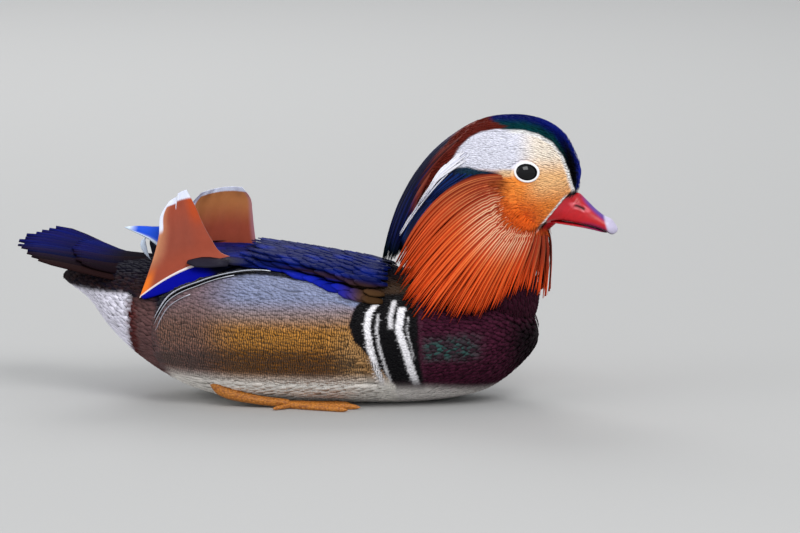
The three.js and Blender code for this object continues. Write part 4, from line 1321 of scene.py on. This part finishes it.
def sail_tone(side, t, s):
    u = (s + 1) / 2
    if side == RIGHT:
        own = (
            "8f4534", smooth(0.15, 0.4, t) * smooth(0.9, 0.5, t) * smooth(0.15, 0.4, u) * 0.8,
            "b4461a", smooth(0.34, 0.1, u) * smooth(0.5, 0.75, t),
            "cf9068", smooth(0.7, 1.0, u) * smooth(0.15, 0.4, t) * 0.7,
        )
    else:
        own = (
            "b87443", smooth(0.35, 0.8, t),
            "b08090", smooth(0.08, 0.0, u) * 0.7,
        )
    return blend(
        "9c4630",
        *own,
        "f27a1e", smooth(0.84, 0.97, u) * smooth(0.3, 0.1, t),
        "e3e8fb", np.maximum(smooth(0.9, 0.925, t), smooth(0.88, 0.92, u) * smooth(0.58, 0.66, t)),
        "f6e4dc", smooth(0.03, 0.015, t) * smooth(0.28, 0.36, u),
    )


def sail(side, name):
    """The upright orange vane, on the right with a split and a step in its upper edge."""
    T, S = grid_of(shares(90), np.linspace(-1, 1, 120))
    split, step = 0, 0
    if side == RIGHT:
        split = 0.16 * smooth(0.04, 0.0, np.abs(S - 0.1)) * smooth(0.75, 1, T)
        step = 0.035 * smooth(0.1, 0.12, S) * smooth(0.7, 1, T)
    fray = 0.006 * np.sin(S * 61) * np.sin(S * 23 + 1) * smooth(0.85, 1, T)
    p = sail_point(side, np.clip(T * (1 - split - step) + fray, 0, 1), S)
    p[..., 1] += side * (0.25 * np.sin(S * 14 + T * 3) * smooth(0.1, 0.5, T))
    shift = mix(0.9, 0.25, T)[..., None] * (0, 1, 0)
    vane = np.stack([0 * T, S + 0.25 * T, 0 * T + 0.5], -1)
    tone = sail_tone(side, T, S)
    sheet(f"sail_{name}_vane", p + shift, p - shift, tone, vane, SAIL, "sail_plumage", f"sail_{name}")


# Lower edge of the blue outer vane along X and Z
WEB_FOOT = [[-22, 84], [-34, 82.2], [-45.9, 79.2], [-57.7, 72.6], [-75.4, 67.2], [-88.7, 62.8], [-94, 61.2]]


def web(side, name):
    """The narrow blue outer vane below the shaft of the sail, and the pale shaft itself."""
    u = shares(60)
    top = sail_point(side, 0 * u + 0.01, mix(-1.35, 0.97, u))
    top[:, 1] += side * 1.2
    low = trace(WEB_FOOT, u)
    U, V = grid_of(u, shares(12))
    x, z = mix(top[:, None, 0], low[:, None, 0], V), mix(top[:, None, 2], low[:, None, 1], V)
    y = top[:, None, 1] + side * (7.0 * V * np.sin(np.pi * np.clip(U, 0, 1)) ** 0.5 + 1.5 * np.sin(np.pi * V))
    grid = np.stack([x, y, z], -1)
    tone = blend(
        "080e90",
        "0a0c20", smooth(0.5, 0.4, U),
        "04040c", smooth(0.86, 1, V),
    )
    vane = np.stack([0 * U, 3 * U + 0.4 * V, 0 * U + 0.5], -1)
    sheet(f"sail_{name}_web", grid, grid - (0, side * 0.8, 0.2), tone, vane, GLOSSY, "wing_plumage")
    shaft = sail_point(side, 0 * u + 0.01, mix(-0.36, 0.96, u)) + (0, side * 1.5, 0)
    verts, faces = rod(np.column_stack([u, shaft, mix(0.95, 0.45, u)]), 10, 50)
    obj = make(f"sail_{name}_shaft", verts, faces, SAIL)
    paint(obj.data, np.broadcast_to(rgb("f3e6e4"), (len(verts), 3)))
    settle(obj, "sail_plumage")


def rod(rows, around, steps):
    """A round rod along rows of share, centre and radius, with rounded ends."""
    t = shares(steps)
    g = along(rows, t)
    centre = g[:, 1:4]
    ahead = unit(np.gradient(centre, axis=0))
    side = unit(np.cross(np.broadcast_to([0.0, 1.0, 0.0], ahead.shape), ahead))
    third = np.cross(ahead, side)
    radius = g[:, 4] * np.sqrt(np.clip(1 - np.abs(2 * t - 1) ** 12, 0.02, 1))
    angle = turns(around)
    ring = np.cos(angle)[None, :, None] * side[:, None] + np.sin(angle)[None, :, None] * third[:, None]
    return tube_mesh(centre[:, None] + ring * radius[:, None, None])


both(primaries, sail, web)


# Tail
def tail_point(t, s):
    g = along(TAIL, t)
    x = g[..., 1] + 18 * s * s * t
    z = g[..., 2] - 0.75 * g[..., 4] * s * s + 2.2 * s + 8 * np.maximum(s, 0) * t
    return np.stack([x, s * g[..., 3], z], -1)


# Rows of the tail: name, CAD nodes they replace, feathers, reach, spread, height, half width
TAIL_ROWS = (
    ("tail_feathers", ("tail",), 14, 1.0, 1, 0.0, 5.4),
    ("tail_coverts", (), 13, 0.62, 0.85, 1.4, 4.6),
)


def tail():
    steps, cols = 9, 7
    t, s = shares(steps), np.linspace(-1, 1, cols)
    for name, nodes, count, reach, spread, lift, half in TAIL_ROWS:
        share = (2 * (np.arange(count) + 0.5) / count - 1) * spread
        T = t[None] * (reach * (1 - 0.05 * rng.random(count)))[:, None]
        S = share[:, None] + 0 * T
        P = tail_point(T, S)
        across = tail_point(T, S + 0.02) - tail_point(T, S - 0.02)
        N = np.cross(across, tail_point(T + 0.02, S) - tail_point(T - 0.02, S))
        N = unit(N * np.where(N[..., 2:] < 0, -1, 1))
        layer = np.arange(count)[:, None] * -0.12
        P = P + N * (lift * np.minimum(1, 3 * t)[None] + layer)[..., None]
        blue = 0.65 * smooth(-0.9, 0.2, share)[:, None, None] * smooth(0.3, 1, t)[None, :, None]
        brown = (0.25 + 0.6 * smooth(0.1, -0.8, share)) * rng.random(count)
        colour = blend(
            "070914",
            "0a1a78", blue * smooth(1, 0.2, np.abs(s)),
            "2a1814", brown[:, None, None],
        )
        unwrap = np.stack([0.5 + share / 2.1, np.full(count, 0.1)], -1)
        coat(name, DUSKY, "tail_plumage", nodes, P, N, half * rounded(t, 0.75), 0.7, colour, unwrap, cols)


tail()


# Bill
HORN = {"Roughness": 0.38, "Specular IOR Level": 0.3, "Coat Weight": 0.12, "Coat Roughness": 0.25}
BILL = mottled("bill_horn", (420.0, 5.0), 0.4, (0.35, 0.0003), HORN)


def bill(form, name, node, around, steps):
    p, faces = form.surface(around, steps)
    if node == "bill_upper":
        near = nostril(p[:, 0], p[:, 2])
        rim = np.exp(-((near - 1.5) / 0.5) ** 2) * 0.25
        p[:, 1] -= np.sign(p[:, 1]) * (1.6 * smooth(1.1, 0.5, near) - rim)
    obj = make(name, p, faces, BILL)
    paint(obj.data, bill_tone(p))
    settle(obj, "bill", node)


def bill_base(side, name):
    """Soft skin that leads from the edge of the face feathers out to the horn."""
    T, S = grid_of(shares(30), shares(24))
    z = mix(103.6, 119.6, T)
    rear = BILL_EDGE[0] + BILL_SLOPE * (z - BILL_EDGE[1])
    reach = 8.5
    x = rear + mix(-0.8, reach, S)
    ridge = along(BILL_UPPER, x)[..., 3]
    z = np.minimum(z, mix(z, ridge - 1.0, smooth(0.1, 0.6, S)))
    face, horn = head_side(rear, z), section_side(BILL_UPPER, rear + reach, z)
    y = np.maximum(mix(face + 0.1, horn + 0.1, smooth(-0.3, 1, S)), section_side(BILL_UPPER, x, z) + 0.12)
    top = np.stack([x, side * y, z], -1)
    verts, faces = blade_mesh(top, top - (0, side * 1.4, 0))
    obj = make(f"bill_{name}_base", verts, faces, BILL)
    paint(obj.data, bill_tone(verts))
    settle(obj, "bill")


both(bill_base)
bill(Form(BILL_UPPER, (3, 5)), "upper_bill", "bill_upper", 64, 72)
bill(Form(BILL_LOWER, (3, 5)), "lower_bill", "bill_lower", 40, 40)


# Eyes
def eye_material():
    material, tree, shader = nodes_of("eye_gloss")
    fill(tree, shader, {
        "Base Color": (*rgb("050408"), 1),
        "Roughness": math_node(tree, "MULTIPLY_ADD", noise(tree, 700.0), 0.04, 0.03),
        "Specular IOR Level": 0.12,
        "Coat Weight": 0.35,
        "Coat Roughness": 0.02,
    })
    return material


def turned(points, degrees):
    a = math.radians(degrees)
    x, z = points[..., 0].copy(), points[..., 2].copy()
    points[..., 0] = x * math.cos(a) + z * math.sin(a)
    points[..., 2] = -x * math.sin(a) + z * math.cos(a)
    return points


# Rings round the eye: name, how much larger than the ball, thickness, distance from the skin, colour
EYE_RINGS = (
    ("rim", -1.75, 0.45, 0.45, "08070a"),
    ("ring", -0.85, 0.78, 0.1, "fbf9fb"),
)


def eye(side, name):
    U, W = grid_of(np.linspace(0, np.pi, 33)[1:-1], turns(48))
    ball = np.stack([EYE[0] * np.sin(U) * np.cos(W), EYE[1] * np.cos(U), EYE[2] * np.sin(U) * np.sin(W)], -1)
    centre = np.array([EYE_CENTRE[0], 0, EYE_CENTRE[2]])
    ball = turned(ball, EYE_TILT) + centre
    ahead, above = head_side(EYE_CENTRE[0] + 5, EYE_CENTRE[2]), head_side(EYE_CENTRE[0], EYE_CENTRE[2] + 4)
    level = head_side(EYE_CENTRE[0], EYE_CENTRE[2])
    slope = (ball[..., 0] - centre[0]) * (ahead - level) / 5 + (ball[..., 2] - centre[2]) * (above - level) / 4
    ball[..., 1] = side * (ball[..., 1] + level + slope - EYE_SINK)
    verts, faces = tube_mesh(ball)
    settle(make(f"eye_{name}_ball", verts, faces, EYE_GLOSS), "eye", f"eye_{name}")
    n, m = 64, 12
    A, B = grid_of(turns(n), turns(m))
    quads = [
        (i * m + j, ((i + 1) % n) * m + j, ((i + 1) % n) * m + (j + 1) % m, i * m + (j + 1) % m)
        for i in range(n)
        for j in range(m)
    ]
    for label, grow, thick, out, tone in EYE_RINGS:
        wide, tall = (EYE[axis] + grow + thick * np.cos(B) for axis in (0, 2))
        grid = turned(np.stack([wide * np.cos(A), 0 * A, tall * np.sin(A)], -1), EYE_TILT) + centre
        grid[..., 1] = side * (head_side(grid[..., 0], grid[..., 2]) + out + 0.8 * thick * np.sin(B))
        obj = make(f"eye_{name}_{label}", grid.reshape(-1, 3), quads, LID)
        paint(obj.data, np.broadcast_to(rgb(tone), (n * m, 3)))
        settle(obj, "face_plumage")


EYE_GLOSS = eye_material()
LID = skin_material("eyelid", 0.5)
both(eye)


# Legs and feet
def leg_material():
    material, tree, shader = nodes_of("leg_scales")
    scales = add(tree, "TexVoronoi", {"Vector": object_place(tree), "Scale": 900.0})["Distance"]
    ramp = tree.nodes.new("ShaderNodeValToRGB")
    ramp.color_ramp.elements[0].color = (*rgb("d88a2c"), 1)
    ramp.color_ramp.elements[1].color = (*rgb("8a4a18"), 1)
    fill(tree, ramp, {0: scales})
    grooves = add(tree, "Bump", {"Height": scales, "Distance": 0.0004}, invert=True)[0]
    fill(tree, shader, {"Base Color": ramp.outputs[0], "Normal": grooves, "Roughness": 0.5})
    return material


SCALES = leg_material()
# Tips of the toes along X and Y, and the heel they start from
TOES = [(24, 34), (30, 43.5), (24, 53.5)]
HEEL = (-13, 43)


def leg_piece(name, node, verts, faces):
    verts[:, 2] = np.maximum(verts[:, 2], 0)
    settle(make(name, verts, faces, SCALES), "leg_skin", node)


def foot(side, name):
    shank = [
        [0, -56, side * 36, 17, 4],
        [0.25, -49, side * 40, 9, 3.6],
        [0.6, -30, side * 42.5, 4.6, 2.7],
        [1, -9, side * 43, 2.7, 2.4],
    ]
    leg_piece(f"leg_{name}_shank", f"leg_{name}", *rod(shank, 24, 40))
    heel, inward = HEEL
    parts = []
    for x, y in TOES:
        toe = [
            [0, heel, side * inward, 2.2, 2.3],
            [0.5, mix(heel, x, 0.5), side * mix(inward, y, 0.55), 1.7, 1.9],
            [0.9, mix(heel, x, 0.9), side * mix(inward, y, 0.92), 1.5, 1.6],
            [1, x, side * y, 1.2, 0.7],
        ]
        parts.append(rod(toe, 16, 36))
    T, S = grid_of(np.linspace(0.08, 1, 24), np.linspace(-1, 1, 25))
    y = mix(inward, mix(TOES[0][1], TOES[2][1], (S + 1) / 2), 0.1 + 0.86 * T)
    reach = mix(20, mix(38, 33, np.abs(S)), T)
    x = heel + reach * (0.08 + 0.86 * T) - 2.5 * T * (1 - np.cos(2 * np.pi * S))
    top = np.stack([x, side * y, 1.5 - 0.5 * np.abs(np.sin(2 * np.pi * S))], -1)
    low = top.copy()
    low[..., 2] = 0.2
    parts.append(blade_mesh(top, low))
    hind = [
        [0, heel + 6, side * 42, 2, 1.5],
        [0.6, heel - 3, side * 50, 1.4, 1.2],
        [1, heel - 6, side * 53, 1.2, 0.6],
    ]
    parts.append(rod(hind, 12, 20))
    leg_piece(f"foot_{name}_web", f"foot_{name}", *joined(parts))


both(foot)


# Floor, lights and camera. The area lights, in metres and watts: name, place, size, power.
LIGHTS = (
    ("key", (0.9, -1.6, 1.9), 1.2, 34.0),
    ("fill", (-1.8, -1.2, 1.1), 1.6, 12.0),
    ("rim", (-0.6, 1.8, 1.5), 1.2, 20.0),
)
LIT_POINT = Vector((0, 0, 0.08))
FLOOR = 6000


def stage():
    material, tree, shader = nodes_of("floor_matt")
    fill(tree, shader, {"Base Color": (0.42, 0.42, 0.415, 1), "Roughness": 0.9})
    corners = np.array([[-1, -1, 0], [1, -1, 0], [1, 1, 0], [-1, 1, 0]], float)
    make("floor", corners * FLOOR, [(0, 1, 2, 3)], material, False)
    world = bpy.data.worlds.new("studio")
    world.use_nodes = True
    background = world.node_tree.nodes["Background"]
    fill(world.node_tree, background, {"Color": (0.95, 0.97, 1.0, 1), "Strength": 0.75})
    bpy.context.scene.world = world
    bpy.context.scene.view_settings.view_transform = "Standard"
    for name, place, size, power in LIGHTS:
        lamp = bpy.data.lights.new(name, "AREA")
        lamp.size = size
        lamp.energy = power
        obj = add_object(name, lamp)
        obj.location = place
        obj.rotation_euler = (LIT_POINT - Vector(place)).to_track_quat("-Z", "Y").to_euler()


def camera():
    """Frames the bird as the photo does, with the frame's origin at its pixel of the photo."""
    azimuth, elevation = math.radians(AZIMUTH), math.radians(ELEVATION)
    level = math.cos(elevation)
    back = Vector((math.sin(azimuth) * level, -math.cos(azimuth) * level, math.sin(elevation)))
    right = Vector((math.cos(azimuth), math.sin(azimuth), 0))
    up = back.cross(right)
    scale = PIXEL * MM
    aim = right * ((MIDDLE_PIXEL[0] - ORIGIN_PIXEL[0]) * scale) + up * ((ORIGIN_PIXEL[1] - MIDDLE_PIXEL[1]) * scale)
    data = bpy.data.cameras.new("photo")
    data.sensor_width = 36
    data.lens = data.sensor_width * DISTANCE / FIELD
    data.clip_start = 0.1
    data.clip_end = 50
    obj = add_object("photo", data)
    turn = Matrix((right, up, back)).transposed()
    obj.matrix_world = Matrix.Translation(aim + back * DISTANCE) @ turn.to_4x4()
    bpy.context.scene.camera = obj


stage()
camera()
bpy.context.view_layer.update()
